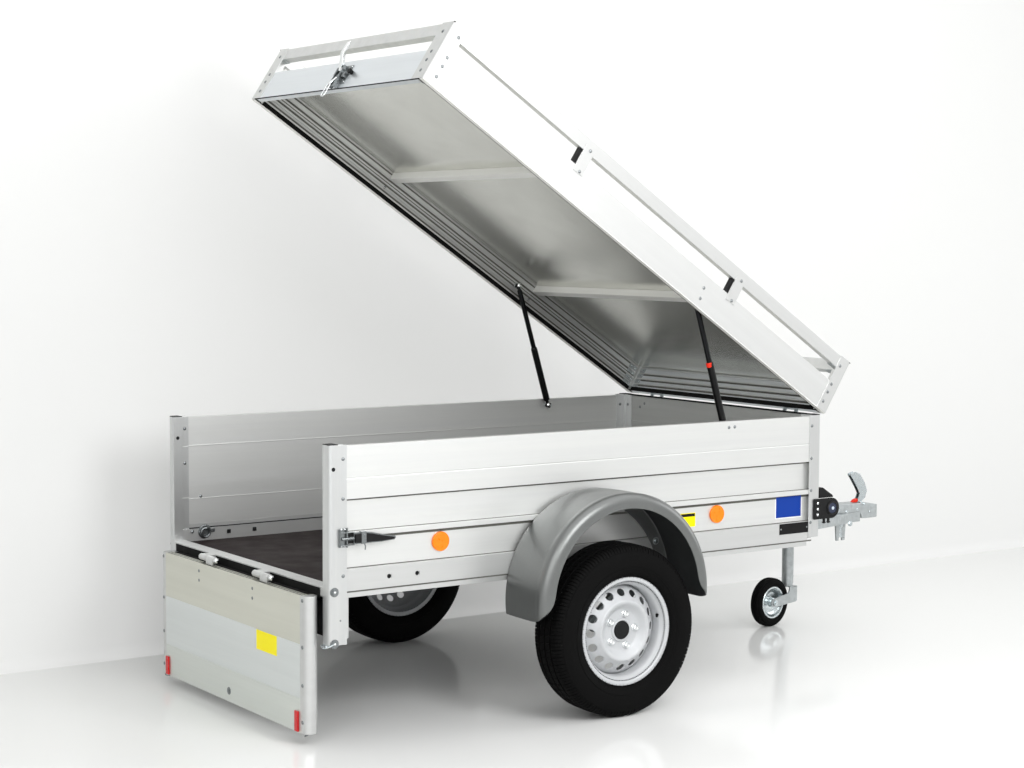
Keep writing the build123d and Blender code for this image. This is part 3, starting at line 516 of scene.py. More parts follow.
def dressed(node, finish, bevel, pick=None, others=()):
    """Copy of a CAD node with its facets joined into whole faces and its edges broken.

    pick gives each face, by its centre in metres, the number of the finish among finish and others.
    """
    source = frame["nodes"][node]
    bm = bmesh.new()
    bm.from_mesh(source.data)
    bmesh.ops.remove_doubles(bm, verts=bm.verts[:], dist=0.00002)
    bmesh.ops.dissolve_limit(bm, angle_limit=math.radians(0.6), verts=bm.verts[:], edges=bm.edges[:])
    sharp = [edge for edge in bm.edges if edge.is_manifold and edge.calc_face_angle() > math.radians(36)]
    bmesh.ops.bevel(
        bm, geom=sharp, offset=bevel * MM, segments=2, profile=0.5, affect="EDGES", clamp_overlap=True)
    for face in bm.faces:
        face.material_index = pick(face.calc_center_median()) if pick else 0
    look = node + "_look"
    link_piece(loose_mesh(bm, look, finish, *others), look, source["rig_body"], [node], 50)


# ---------------------------------------------------------------- geometry nodes
def tree_with(name, inputs):
    """Empty geometry tree with named inputs; returns the tree and its input and output nodes."""
    tree = bpy.data.node_groups.new(name, "GeometryNodeTree")
    tree.interface.new_socket("Geometry", in_out="OUTPUT", socket_type="NodeSocketGeometry")
    tree.interface.new_socket("Geometry", in_out="INPUT", socket_type="NodeSocketGeometry")
    for label, kind in inputs:
        tree.interface.new_socket(label, in_out="INPUT", socket_type=kind)
    return tree, add_node(tree, "NodeGroupInput"), add_node(tree, "NodeGroupOutput")


def close_tree(tree, given, shape, out):
    """End a tree in realised, smooth-shaded, painted geometry."""
    real = add_node(tree, "GeometryNodeRealizeInstances", inputs={"Geometry": shape}).outputs[0]
    soft = add_node(tree, "GeometryNodeSetShadeSmooth", inputs={"Geometry": real}).outputs[0]
    painted = add_node(
        tree, "GeometryNodeSetMaterial", inputs={"Geometry": soft, "Material": given.outputs["Material"]})
    tree.links.new(painted.outputs[0], out.inputs["Geometry"])


def heads_tree():
    """Fastener heads standing on points: a dome, or a flat-sided head on a washer."""
    tree, given, out = tree_with("fastener heads", [
        ("Radius", "NodeSocketFloat"), ("Height", "NodeSocketFloat"), ("Washer", "NodeSocketFloat"),
        ("Hexagon", "NodeSocketBool"), ("Material", "NodeSocketMaterial")])
    take = given.outputs
    ball = {"Segments": 14, "Rings": 8, "Radius": 1.0}
    dome = add_node(tree, "GeometryNodeMeshUVSphere", inputs=ball).outputs[0]
    size = {"X": take["Radius"], "Y": take["Radius"], "Z": take["Height"]}
    size = add_node(tree, "ShaderNodeCombineXYZ", inputs=size).outputs[0]
    dome = add_node(tree, "GeometryNodeTransform", inputs={"Geometry": dome, "Scale": size}).outputs[0]
    deep = maths(tree, "MULTIPLY", take["Height"], 2.0)
    nut = add_node(
        tree, "GeometryNodeMeshCylinder",
        inputs={"Vertices": 6, "Radius": take["Radius"], "Depth": deep}).outputs[0]
    thin = maths(tree, "MULTIPLY", take["Height"], 0.6)
    washer = add_node(
        tree, "GeometryNodeMeshCylinder",
        inputs={"Vertices": 24, "Radius": take["Washer"], "Depth": thin}).outputs[0]
    stack = add_node(tree, "GeometryNodeJoinGeometry")
    tree.links.new(nut, stack.inputs[0])
    tree.links.new(washer, stack.inputs[0])
    head = add_node(
        tree, "GeometryNodeSwitch", {"input_type": "GEOMETRY"},
        {"Switch": take["Hexagon"], "False": dome, "True": stack.outputs[0]}).outputs[0]
    facing = add_node(
        tree, "GeometryNodeInputNamedAttribute", {"data_type": "FLOAT_VECTOR"}, {"Name": "facing"}).outputs[0]
    turn = add_node(
        tree, "FunctionNodeAlignRotationToVector", {"axis": "Z"}, {"Vector": facing}).outputs[0]
    points = add_node(tree, "GeometryNodeMeshToPoints", inputs={"Mesh": take["Geometry"]}).outputs[0]
    placed = add_node(
        tree, "GeometryNodeInstanceOnPoints",
        inputs={"Points": points, "Instance": head, "Rotation": turn}).outputs[0]
    close_tree(tree, given, placed, out)
    return tree


def ring_tree():
    """One sector repeated about the local Y axis and welded to its neighbours."""
    tree, given, out = tree_with("sectors about an axle", [
        ("Count", "NodeSocketInt"), ("Material", "NodeSocketMaterial")])
    take = given.outputs
    line = add_node(
        tree, "GeometryNodeMeshLine", inputs={"Count": take["Count"], "Offset": (0, 0, 0)}).outputs[0]
    index = add_node(tree, "GeometryNodeInputIndex").outputs[0]
    step = maths(tree, "DIVIDE", math.tau, take["Count"])
    angle = maths(tree, "MULTIPLY", index, step)
    euler = add_node(tree, "ShaderNodeCombineXYZ", inputs={"Y": angle}).outputs[0]
    placed = add_node(
        tree, "GeometryNodeInstanceOnPoints",
        inputs={"Points": line, "Instance": take["Geometry"], "Rotation": euler}).outputs[0]
    real = add_node(tree, "GeometryNodeRealizeInstances", inputs={"Geometry": placed}).outputs[0]
    weld = add_node(
        tree, "GeometryNodeMergeByDistance", inputs={"Geometry": real, "Distance": 0.00003}).outputs[0]
    close_tree(tree, given, weld, out)
    return tree


def settle(name, source, tree, values, place=None):
    """Run a geometry tree on a source mesh and return the result as a plain mesh."""
    carrier = bpy.data.objects.new(name + "_source", source)
    bpy.context.scene.collection.objects.link(carrier)
    modifier = carrier.modifiers.new("build", "NODES")
    modifier.node_group = tree
    for item in tree.interface.items_tree:
        if item.item_type == "SOCKET" and item.in_out == "INPUT" and item.name in values:
            modifier[item.identifier] = values[item.name]
    bpy.context.view_layer.update()
    ready = carrier.evaluated_get(bpy.context.evaluated_depsgraph_get())
    mesh = bpy.data.meshes.new_from_object(ready)
    mesh.name = name
    carrier.modifiers.clear()
    bpy.data.objects.remove(carrier)
    if place is not None:
        mesh.transform(place)
    return mesh


HEADS = heads_tree()
RING = ring_tree()


def heads(name, spots, body, finish, radius, height, hexagon=False, turn=None):
    """Fastener heads at (point, facing) pairs, their radius and height in millimetres."""
    source = bpy.data.meshes.new(name + "_points")
    source.from_pydata([tuple(point) for point, _ in spots], [], [])
    facing = source.attributes.new("facing", "FLOAT_VECTOR", "POINT")
    facing.data.foreach_set("vector", [c for _, way in spots for c in way])
    mesh = settle(name, source, HEADS, {
        "Radius": radius * MM, "Height": height * MM, "Washer": radius * WASHER * MM,
        "Hexagon": hexagon, "Material": FINISH[finish]}, turn)
    link_piece(mesh, name, body, smooth=50)


def marks(way, *points, place=spot):
    """(point, facing) pairs that all face one way, from points in millimetres."""
    return [(place(*point), way) for point in points]


def both_sides(spots):
    """The given (point, facing) pairs and their mirror images."""
    flip = Vector((1, -1, 1))
    return list(spots) + [(p * flip, Vector(w) * flip) for p, w in spots]


def plate(bm, x, y, z, bevel):
    """Rounded box from (low, high) ranges in millimetres."""
    add_box(bm, spot(x[0], y[0], z[0]), spot(x[1], y[1], z[1]), bevel)


def lid_plate(bm, back, y, up, bevel):
    """Rounded box on the closed lid from (low, high) ranges in millimetres."""
    add_box(bm, lid_spot(back[1], y[0], up[0]), lid_spot(back[0], y[1], up[1]), bevel)


def box_piece(name, body, finish, rows, replaces=(), mirrored=True):
    """Piece made of rounded boxes from (x, y, z, bevel) rows, or (back, y, up, bevel) rows on the lid.

    A row that isn't centred on the trailer is repeated on its other side.
    """
    bm = bmesh.new()
    on_lid = body == "lid"
    for x, y, z, bevel in rows:
        ranges = [y, (-y[1], -y[0])] if mirrored and y[0] + y[1] else [y]
        for across in ranges:
            (lid_plate if on_lid else plate)(bm, x, across, z, bevel)
    finish_piece(bm, name, body, finish, replaces, LID_TURN if on_lid else None)


def turned_piece(name, body, finish, profile, place, steps, replaces=()):
    """Piece turned from one outline, with its copy on the other side."""
    bm = bmesh.new()
    add_turned(bm, profile, place, steps)
    mirror(bm)
    finish_piece(bm, name, body, finish, replaces)


# ---------------------------------------------------------------- sizes
class BoxSizes(bpy.types.PropertyGroup):
    edge: FloatProperty(name="Edge break", description="Rounding of extruded edges, mm", default=0.6, min=0.1)
    rivet: FloatProperty(name="Rivet radius", description="Radius of a rivet head, mm", default=6.2, min=1)
    rivet_height: FloatProperty(name="Rivet height", description="Height of a rivet, mm", default=2.6, min=1)
    bolt: FloatProperty(name="Bolt radius", description="Radius of a corner bolt, mm", default=11.0, min=2)


class WheelSizes(bpy.types.PropertyGroup):
    pitches: IntProperty(name="Tread pitches", description="Blocks round the tyre", default=72, min=24)
    groove: FloatProperty(name="Groove depth", description="Depth of the tread, mm", default=6.5, min=1)
    vents: IntProperty(name="Vents", description="Holes round the disc", default=16, min=4)
    vent: FloatProperty(name="Vent radius", description="Radius of a disc vent, mm", default=14.2, min=3)
    bolts: IntProperty(name="Wheel bolts", description="Bolts round the hub", default=5, min=3)
    bolt_circle: FloatProperty(name="Bolt circle", description="Radius of the bolt circle, mm", default=56.0)


class GuardSizes(bpy.types.PropertyGroup):
    radius: FloatProperty(name="Radius", description="Radius of the mudguard at the box, mm", default=346.0)
    wall: FloatProperty(name="Wall", description="Thickness of the moulding, mm", default=4.0)
    lip: FloatProperty(name="Lip", description="Depth of the lip and the inner flange, mm", default=50.0)
    round_off: FloatProperty(name="Rounding", description="Radius of the rolled corner, mm", default=30.0)


class LidSizes(bpy.types.PropertyGroup):
    rib: FloatProperty(name="Rib height", description="Height of the ribs inside the lid, mm", default=5.0)
    rivet: FloatProperty(name="Rivet radius", description="Radius of a lid rivet, mm", default=6.4, min=1)


class StudioSizes(bpy.types.PropertyGroup):
    wall_y: FloatProperty(name="Wall", description="Place of the studio wall, m", default=1.0)
    key: FloatProperty(name="Key", description="Strength of the large ceiling light, W", default=120.0)
    fill: FloatProperty(name="Fill", description="Strength of the light beside the camera, W", default=200.0)
    front: FloatProperty(name="Front", description="Strength of the light at the drawbar, W", default=70.0)
    softbox: FloatProperty(name="Softbox", description="Strength of the softbox by the side, W", default=72.0)
    world: FloatProperty(name="Surround", description="Light from all round", default=0.3)
    floor: FloatVectorProperty(
        name="Floor", description="Colour of the painted floor", subtype="COLOR", default=(0.8, 0.805, 0.795))


class TrailerSizes(bpy.types.PropertyGroup):
    box: PointerProperty(type=BoxSizes)
    wheel: PointerProperty(type=WheelSizes)
    guard: PointerProperty(type=GuardSizes)
    lid: PointerProperty(type=LidSizes)
    studio: PointerProperty(type=StudioSizes)


# ---------------------------------------------------------------- box
POST_RIVETS = (907, 788, 669, 551)
REAR_RIVETS = (902, 778, 536)


class TRAILER_OT_box(bpy.types.Operator):
    """Side, front and floor panels, posts and rails with broken edges"""
    bl_idname = "trailer.box"
    bl_label = "Box"

    def execute(self, context):
        edge = context.scene.trailer.box.edge
        for side, _ in SIDES:
            dressed("side_wall_" + side, "plank", edge)
            dressed("side_rail_" + side, "rail", edge)
            dressed("rear_post_" + side, "post", edge)
            dressed("front_post_" + side, "post", edge)
        dressed("front_wall", "plank_shaded_front", edge)
        dressed("rear_sill", "rail", edge)
        dressed("post_caps", "black", 0.6)
        dressed("floor_panel", "ply", 0.3)
        flanges = [((33, 63), (556.6, 558.9), z, 0.4) for z in ((497, 652), (656, 838), (842, 945))]
        flanges.append(((1992, 2028), (556.6, 558.9), (497, 945), 0.4))
        flanges.append(((2031.5, 2034.2), (508, 556), (497, 945), 0.4))
        box_piece("inner_flanges", "chassis", "post", flanges)
        box_piece("inner_wall_beads", "chassis", "plank", [
            ((63, 1992), (556.2, 559), (838, 841.4), 0.6), ((63, 1992), (557.4, 559), (646.4, 649), 0.5)])
        box_piece("inner_front_beads", "chassis", "plank_shaded_front", [
            ((2031.6, 2034.4), (-508, 508), (838, 841.4), 0.6),
            ((2032.6, 2034.4), (-508, 508), (646.4, 649), 0.5)])
        # Painted shadow: thin dark grey strips along the side walls, under the steps and above the ledges,
        # stand for the shade there.
        steps = [(WALL_FACE, z) for z in ((768.6, 774.8), (645.6, 655.8), (672.2, 674.2), (556.2, 558.6))]
        steps.append((579, (480.5, 485.8)))
        box_piece("painted_step_shadows", "chassis", "step_shade", [
            ((34, 2027), (y - 0.4, y + 0.5), z, 0.2) for y, z in steps])
        # Two of these strips are painted shade: the black band on the sill's rear face stands for the dark
        # gap behind the tailgate, and the dark strip on the inner ledge stands for the shadow line above the
        # rail.
        box_piece("seals_and_painted_shadow_strips", "chassis", "seal", [
            ((2041, 2053), (-546, 546), (942.6, 948.2), 1.2), ((-2.4, 0.2), (-528, 528), (462, 496), 0.8),
            ((64, 1990), (550.2, 558.9), (540.6, 543.2), 0.8)])
        return {"FINISHED"}


class TRAILER_OT_box_fasteners(bpy.types.Operator):
    """Rivets, corner bolts and hole plugs of the box"""
    bl_idname = "trailer.box_fasteners"
    bl_label = "Box fasteners"

    def execute(self, context):
        sizes = context.scene.trailer.box
        rivets = marks(OUT, *[(50, POST_FACE, z) for z in REAR_RIVETS])
        rivets += marks(OUT, *[(2016, POST_FACE, z) for z in POST_RIVETS])
        rivets += marks(OUT, (1619, 583.3, 921), (1646, 583.3, 922))
        rivets += marks(IN, *[(48, 556.6, z) for z in REAR_RIVETS], (110, 558.8, 655))
        rivets += marks(IN, (2010, 556.6, 905), (2010, 556.6, 780))
        rivets += marks(BACK, (2031.5, 532, 905), (2034.2, 455, 900), (2034.2, 425, 916))
        rivets += marks(AHEAD, *[(2061, 534, z) for z in POST_RIVETS])
        heads("box_rivets", both_sides(rivets), "chassis", "rivet",
              sizes.rivet, sizes.rivet_height)
        pins = marks(OUT, (40, POST_FACE, 397))
        heads("post_pins", both_sides(pins), "chassis", "rivet", 3.2, 1.6)
        for name, finish, y, radius, height, hexagon in (
            ("corner_bolts", "rivet", POST_FACE, sizes.bolt, 5.5, True),
            ("corner_bolt_ends", "chrome", 588.5, 5, 5, False),
        ):
            corners = marks(OUT, (18.5, y, 488), (18.5, y, 325.5))
            heads(name, both_sides(corners), "chassis", finish, radius, height, hexagon)
        bm = bmesh.new()
        for y0, y1 in ((583, 586.4), (544.2, 546)):
            add_round(bm, spot(16, y0, 871), spot(16, y1, 871), 6.5, 24, 0.4)
        for x in (217, 321):
            add_round(bm, spot(x, 579, 520.5), spot(x, 584, 520.5), 7, 24, 0.5)
            plate(bm, (x - 7, x + 7), (547.6, 552.5), (513, 527), 1.2)
        mirror(bm)
        finish_piece(bm, "hole_plugs", "chassis", "black")
        return {"FINISHED"}


class TRAILER_OT_undercarriage(bpy.types.Operator):
    """Galvanised cross members, drawbar, axle beam and swing arms"""
    bl_idname = "trailer.undercarriage"
    bl_label = "Undercarriage"

    def execute(self, context):
        for node in ("cross_members", "drawbar_arm_left", "drawbar_arm_right", "drawbar_nose", "axle_beam"):
            dressed(node, "galvanised", 1.6)
        dressed("axle_arms", "galvanised", 2.2)
        dressed("rear_light_beam", "galvanised", 0.8)
        dressed("lid_mount_brackets", "zinc", 0.6)
        bolts = marks(OUT, (2620, 32, 482), (2690, 32, 482), (2708, 32, 420), (2760, 32, 420))
        bolts += marks(IN, (1110, 558, 448), (1180, 558, 448))
        heads("chassis_bolts", both_sides(bolts), "chassis", "zinc", 8.5, 5, hexagon=True)
        return {"FINISHED"}


# ---------------------------------------------------------------- road wheels
TREAD_CURVE = 1.5
TYRE_SHOULDER = [
    (56, 285.4), (61, 283), (65, 279.6), (68.4, 275), (70.6, 270), (71.4, 266.4), (73, 265.6), (74.6, 259),
    (76, 252), (77, 244), (77.5, 236), (77.5, 228), (77, 220), (76.4, 215.5), (75.4, 213), (76.6, 212.2),
    (76.6, 209.6), (75.4, 208.8), (74, 202), (71.5, 195), (68.5, 189), (66.5, 185.5), (64, 183.4),
    (61.3, 182.9), (61.3, 168.9),
]
TYRE_INSIDE = [(47, 168.9), (52, 182), (65, 215), (66, 235), (60, 258), (50, 272)]
RIB, GROOVE, FINE, BLOCK, SMOOTH = range(5)


def tread_columns(groove):
    """(width, radius, kind) across half the tread, from the groove in its middle to the shoulder."""
    marks_across = [
        (3, GROOVE), (3.8, RIB), (10, FINE), (18, FINE), (26.2, RIB), (27, GROOVE), (33, GROOVE), (33.8, RIB),
        (41, BLOCK), (48, BLOCK), (53, BLOCK),
    ]
    out = [(0, TYRE_R - groove, GROOVE)]
    for w, kind in marks_across:
        r = TYRE_R - TREAD_CURVE * (w / 50) ** 2
        out.append((w, r - (groove if kind == GROOVE else 0), kind))
    return out


def sipe_depth(kind, main, w):
    """Depth of a main or a fine sipe across one column of the tread; it runs out on the shoulder."""
    if kind == FINE:
        return 4.0 if main else 0.0
    if kind == BLOCK:
        return (6.0 if main else 4.5) * max(0.0, min(1.0, (73 - abs(w)) / 5))
    return 0.0


def tyre_sector(groove, pitches):
    """One pitch of the tyre: ribs, grooves and slanted sipes, with its full section."""
    half = tread_columns(groove)
    half += [(w, r, BLOCK if w < 72 else SMOOTH) for w, r in TYRE_SHOULDER]
    half += [(w, r, SMOOTH) for w, r in TYRE_INSIDE]
    columns = half + [(0, 276, SMOOTH)] + [(-w, r, kind) for w, r, kind in reversed(half[1:])]
    pitch = math.tau / pitches
    main, fine = (0.21, 0.32), (0.71, 0.79)
    bm = bmesh.new()
    grid = []
    for share in (0, 0.2, *main, 0.33, 0.5, 0.7, *fine, 0.8, 1):
        line = []
        for w, r, kind in columns:
            depth = sipe_depth(kind, share in main, w) if share in main + fine else 0.0
            lean = math.copysign(min(abs(w), 62.0) if r > 262 else 62.0, w if w else -1)
            angle = share * pitch + 0.16 * lean / TYRE_R
            radius = (r - depth) * MM
            line.append(bm.verts.new((radius * math.cos(angle), w * MM, -radius * math.sin(angle))))
        grid.append(line)
    join_rings(bm, grid)
    return bm


RIM_BARREL = [
    (64.8, 181.4), (63.6, 182), (62, 181.6), (61.6, 179), (61.5, 173), (60.5, 170.6), (57, 169.2),
    (52, 167.4), (47, 162.4), (42, 158.6), (36, 157), (28, 156), (22, 155.5), (-14, 155.5), (-18, 156.5),
    (-26, 163), (-30, 165.5), (-58, 168.4), (-61, 170), (-61.5, 180), (-63, 182), (-64.8, 181.4),
    (-65, 178), (-65, 166), (-60, 165), (-30, 162), (-25, 160), (-17, 153), (-14, 152), (20, 152),
    (30, 152.6), (38, 153.6), (43, 155.6), (48, 159.4), (53, 164.4), (57, 166), (61, 167), (63, 168.6),
    (64.8, 171), (65, 173.4),
]
DISC_FRONT = [
    (29, 33.4), (34, 34), (60, 34), (66, 34.4), (70, 35.8), (75, 39.6), (80, 44.6), (85, 49.8), (89, 53.4),
    (93, 55.8), (97, 56.8), (100, 56.4), (102.6, 54.8), (105, 52.2), (108, 49), (111, 46.2), (116, 41.8),
    (124, 35), (132, 28.4), (138, 23.4), (143, 19.2), (146, 15.6), (148.6, 11), (150.6, 5.4), (151.6, 0),
]
DISC_THICK = 3.6
VENT_BAND = (108, 143)
VENT_MIDDLE = sum(VENT_BAND) / 2
VENT_SQUASH = 0.8
VENT_LIP = ((2.2, 0.0), (1.2, 0.1), (0.4, -0.8), (0.0, -2.0))


def disc_face(radius):
    """Width of the disc's outer face at a radius, in millimetres."""
    for (r0, w0), (r1, w1) in zip(DISC_FRONT, DISC_FRONT[1:]):
        if radius <= r1:
            return w0 + (w1 - w0) * max(0.0, (radius - r0) / (r1 - r0))
    return DISC_FRONT[-1][1]


def vent_loops(half, vent_radius):
    """Loops of (radius, angle, lift) from the edge of a vent's share of the band in to its rolled hole."""
    low, high = VENT_BAND
    square = []
    for k in range(32):
        turn = k % 8 / 8
        across = (-1 + 2 * turn, 1, 1 - 2 * turn, -1)[k // 8]
        out = (-1, -1 + 2 * turn, 1, 1 - 2 * turn)[k // 8]
        square.append((VENT_MIDDLE + out * (high - low) / 2, across * half))

    def hole(size, lift):
        loop = []
        for r, a in square:
            spin = math.atan2(a / half, 2 * (r - VENT_MIDDLE) / (high - low))
            reach = vent_radius + size
            radius = VENT_MIDDLE + VENT_SQUASH * reach * math.cos(spin)
            loop.append((radius, reach * math.sin(spin) / VENT_MIDDLE, lift))
        return loop

    holes = [hole(size, lift) for size, lift in VENT_LIP]
    loops = []
    for mix, lift in ((0, 0), (0.25, 0), (0.5, 0), (0.75, 0.3)):
        pairs = zip(square, holes[0])
        loops.append([(r0 + (r1 - r0) * mix, a0 + (a1 - a0) * mix, lift) for (r0, a0), (r1, a1, _) in pairs])
    return loops + holes


def rim_sector(vents, vent_radius):
    """One sector of the wheel: barrel section, disc, and a vent with a rolled edge."""
    bm = bmesh.new()
    half = math.pi / vents
    angles = [half * (k - 4) / 4 for k in range(9)]

    def point(w, r, angle):
        return bm.verts.new((r * MM * math.cos(angle), w * MM, -r * MM * math.sin(angle)))

    def swept(section, around):
        join_rings(bm, [[point(w, r, angle) for w, r in section] for angle in angles], around)

    swept(RIM_BARREL, True)
    low, high = VENT_BAND
    inner = [(w, r) for r, w in DISC_FRONT if r <= low]
    outer = [(w, r) for r, w in DISC_FRONT if r >= high]
    swept([(w - DISC_THICK, r) for w, r in reversed(inner)] + inner, False)
    swept(outer + [(w - DISC_THICK, r) for w, r in reversed(outer)], False)
    loops = vent_loops(half, vent_radius)
    front = [[point(disc_face(r) + lift, r, a) for r, a, lift in loop] for loop in loops]
    behind = (loops[-1], loops[4], loops[0])
    back = [[point(disc_face(r) - DISC_THICK, r, a) for r, a, _ in loop] for loop in behind]
    join_rings(bm, front + back)
    bmesh.ops.remove_doubles(bm, verts=bm.verts[:], dist=0.00001)
    return bm


def sector_mesh(bm, name, count, finish):
    """Repeat a sector bmesh about the axle with the ring tree."""
    source = bpy.data.meshes.new(name + "_sector")
    bm.to_mesh(source)
    bm.free()
    return settle(name, source, RING, {"Count": count, "Material": FINISH[finish]})


def place_wheels(mesh, name, node=None, smooth=40.0):
    """A left and a mirrored right copy of a mesh made about the axle's own origin."""
    for side, sign in SIDES:
        own = mesh.copy()
        centre = Matrix.Translation(spot(AXLE_X, TRACK * sign, TYRE_R))
        own.transform(centre @ Matrix.Diagonal((1, sign, 1, 1)))
        bm = bmesh.new()
        bm.from_mesh(own)
        bmesh.ops.recalc_face_normals(bm, faces=bm.faces[:])
        bm.to_mesh(own)
        bm.free()
        replaces = [node + "_" + side] if node else []
        link_piece(own, name + "_" + side, "road_wheel_" + side, replaces, smooth)


class TRAILER_OT_road_wheels(bpy.types.Operator):
    """Road tyres with tread, pressed wheels, bolts, caps and valves"""
    bl_idname = "trailer.road_wheels"
    bl_label = "Road wheels"

    def execute(self, context):
        sizes = context.scene.trailer.wheel
        tyre = sector_mesh(tyre_sector(sizes.groove, sizes.pitches), "road_tyre", sizes.pitches, "tyre")
        place_wheels(tyre, "road_tyre", "tyre", 34)
        rim = sector_mesh(rim_sector(sizes.vents, sizes.vent), "road_rim", sizes.vents, "enamel")
        place_wheels(rim, "road_rim", "rim", 50)
        hub = [(-54.5, 16.2), (-54.5, 30), (-52, 32), (20, 32), (22, 34), (22, 68), (23.5, 70), (29, 70),
               (29.8, 69), (29.8, 27.5), (36, 27.5), (36, 16.2)]
        cap = [(33.9, 0.3), (33.9, 30.8), (38, 30.6), (41, 29.8), (42.2, 28), (42.4, 26), (41.8, 25),
               (42, 23.4), (43.2, 12), (43.4, 0.3)]
        collar = [(33.4, 31.2), (37.6, 31.2), (38.8, 32.4), (38.8, 36), (37.6, 38.6), (33.4, 40.4)]
        for name, profile, steps, finish, slot, node in (
            ("road_hub", hub, 72, "galvanised", "hub_steel", "hub"),
            ("hub_cap", cap, 64, "black", "black_plastic", None),
            ("hub_collar", collar, 64, "enamel", "silver_rim", None),
        ):
            bm = bmesh.new()
            add_turned(bm, profile, Matrix.Identity(4), steps)
            place_wheels(loose_mesh(bm, name, finish), name, node)
        self.bolts(sizes)
        self.valve()
        return {"FINISHED"}

    def bolts(self, sizes):
        """Hexagon heads on their conical seats, round the bolt circle."""
        seat = [(33.6, 0.2), (33.6, 13.5), (35, 13), (37, 11), (37.4, 9), (37.4, 0.2)]
        head = [(37, 0.2), (37, 10.4), (46, 10.4), (48, 8.6), (48.4, 5), (47.4, 4.2), (47.4, 0.2)]
        bm = bmesh.new()
        for k in range(sizes.bolts):
            angle = math.tau * (k + 0.04) / sizes.bolts
            place = Matrix.Translation(Vector((math.cos(angle), 0, math.sin(angle))) * sizes.bolt_circle * MM)
            add_turned(bm, seat, place, 32)
            add_turned(bm, head, place, 6)
        place_wheels(loose_mesh(bm, "wheel_bolts", "chrome"), "wheel_bolts", smooth=30)

    def valve(self):
        """Rubber valve that leans out of the barrel."""
        angle = math.radians(14)
        out = Vector((math.cos(angle), 0, math.sin(angle)))
        base = (out * 152 + Vector((0, 44, 0))) * MM
        tip = (out * 141 + Vector((0, 53, 0))) * MM
        bm = bmesh.new()
        add_tube(bm, smooth_path([base - out * 4 * MM, base, tip], 5), [5.5] * 4 + [4] * 7, 16)
        place_wheels(loose_mesh(bm, "valve", "seal"), "tyre_valve")


# ---------------------------------------------------------------- mudguards
GUARD_MIDDLE = (1005, 402)
GUARD_OUT = 805
GUARD_CROWN = 3.8
GUARD_TOP = ((620, 1.6), (690, 3.2), (738, 3.2), (755, 2.4), (764, 2.8), (769, 3.6))
GUARD_ARC = (-math.radians(8), math.radians(185.5))
GUARD_RINGS = 128
REAR_CORNER, FRONT_CORNER = 66.0, 60.0
CORNER_RUN, CORNER_LAG_RUN, FLANGE_RUN = 92, 170, 40


def guard_section(sizes, lip, flange):
    """Outer and inner (width, radius) lines of the guard, cut off at one lip and one flange depth."""
    radius, wall = sizes.radius, sizes.wall
    corner = GUARD_OUT - sizes.round_off
    axis = radius + GUARD_CROWN - sizes.round_off
    turn = math.acos(max(0.0, 1 - lip / sizes.round_off))

    def roll(size):
        angles = [turn * k / 10 for k in range(11)]
        return [(corner + size * math.sin(a), axis + size * math.cos(a)) for a in angles]

    outer_roll, inner_roll = roll(sizes.round_off), roll(sizes.round_off - wall)
    outer = [(583.3, radius - flange), (583.3, radius - 6), (584.8, radius - 2), (589, radius - 0.6)]
    outer += [(w, radius + rise) for w, rise in GUARD_TOP] + outer_roll
    (out_w, out_r), in_w = outer_roll[-1], inner_roll[-1][0]
    end = min(radius + GUARD_CROWN - lip, out_r)
    outer += [(out_w, end + 1.2), (out_w - 0.8, end)]
    back = [(in_w + 0.8, end), (in_w, end + 1.2)] + inner_roll[::-1]
    back += [(w, radius + rise - wall) for w, rise in reversed(GUARD_TOP)] + [(590, radius - 0.6 - wall)]
    back += [(588.2, radius - 6.5), (587.3, radius - 10), (587.3, radius - flange)]
    return outer, back


def guard_ring(bm, sizes, sign, k):
    """One ring of the guard's vertices, and how many of them are on its outer face.

    Near an end the lip runs out and the outer corner lags behind, which rounds the end off.
    """
    start, stop = GUARD_ARC
    share = k / GUARD_RINGS
    angle = start + (stop - start) * (share - 0.35 * math.sin(math.tau * share) / math.tau)
    at_rear = angle - start < stop - angle
    from_end = min(angle - start, stop - angle) * sizes.radius
    edge = REAR_CORNER if at_rear else FRONT_CORNER
    run = min(1.0, from_end / CORNER_RUN)
    lip = 2.2 + (sizes.lip - 2.2) * math.sqrt(1 - (1 - run) ** 2) ** 0.9
    flange = 14 + (sizes.lip - 14) * min(1.0, from_end / FLANGE_RUN) ** 0.5
    outer, back = guard_section(sizes, lip, flange)
    fade = max(0.0, 1 - from_end / CORNER_LAG_RUN) ** 2
    ring = []
    for w, r in outer + back:
        into = min(max(0.0, w - (GUARD_OUT - edge)) / edge, 0.97)
        lag = 0.6 * edge * (1 - math.sqrt(1 - into ** 2)) * fade
        turn = angle + (lag if at_rear else -lag) / sizes.radius
        x, z = GUARD_MIDDLE[0] - r * math.cos(turn), GUARD_MIDDLE[1] + r * math.sin(turn)
        ring.append(bm.verts.new(spot(x, w * sign, z)))
    return ring, len(outer)


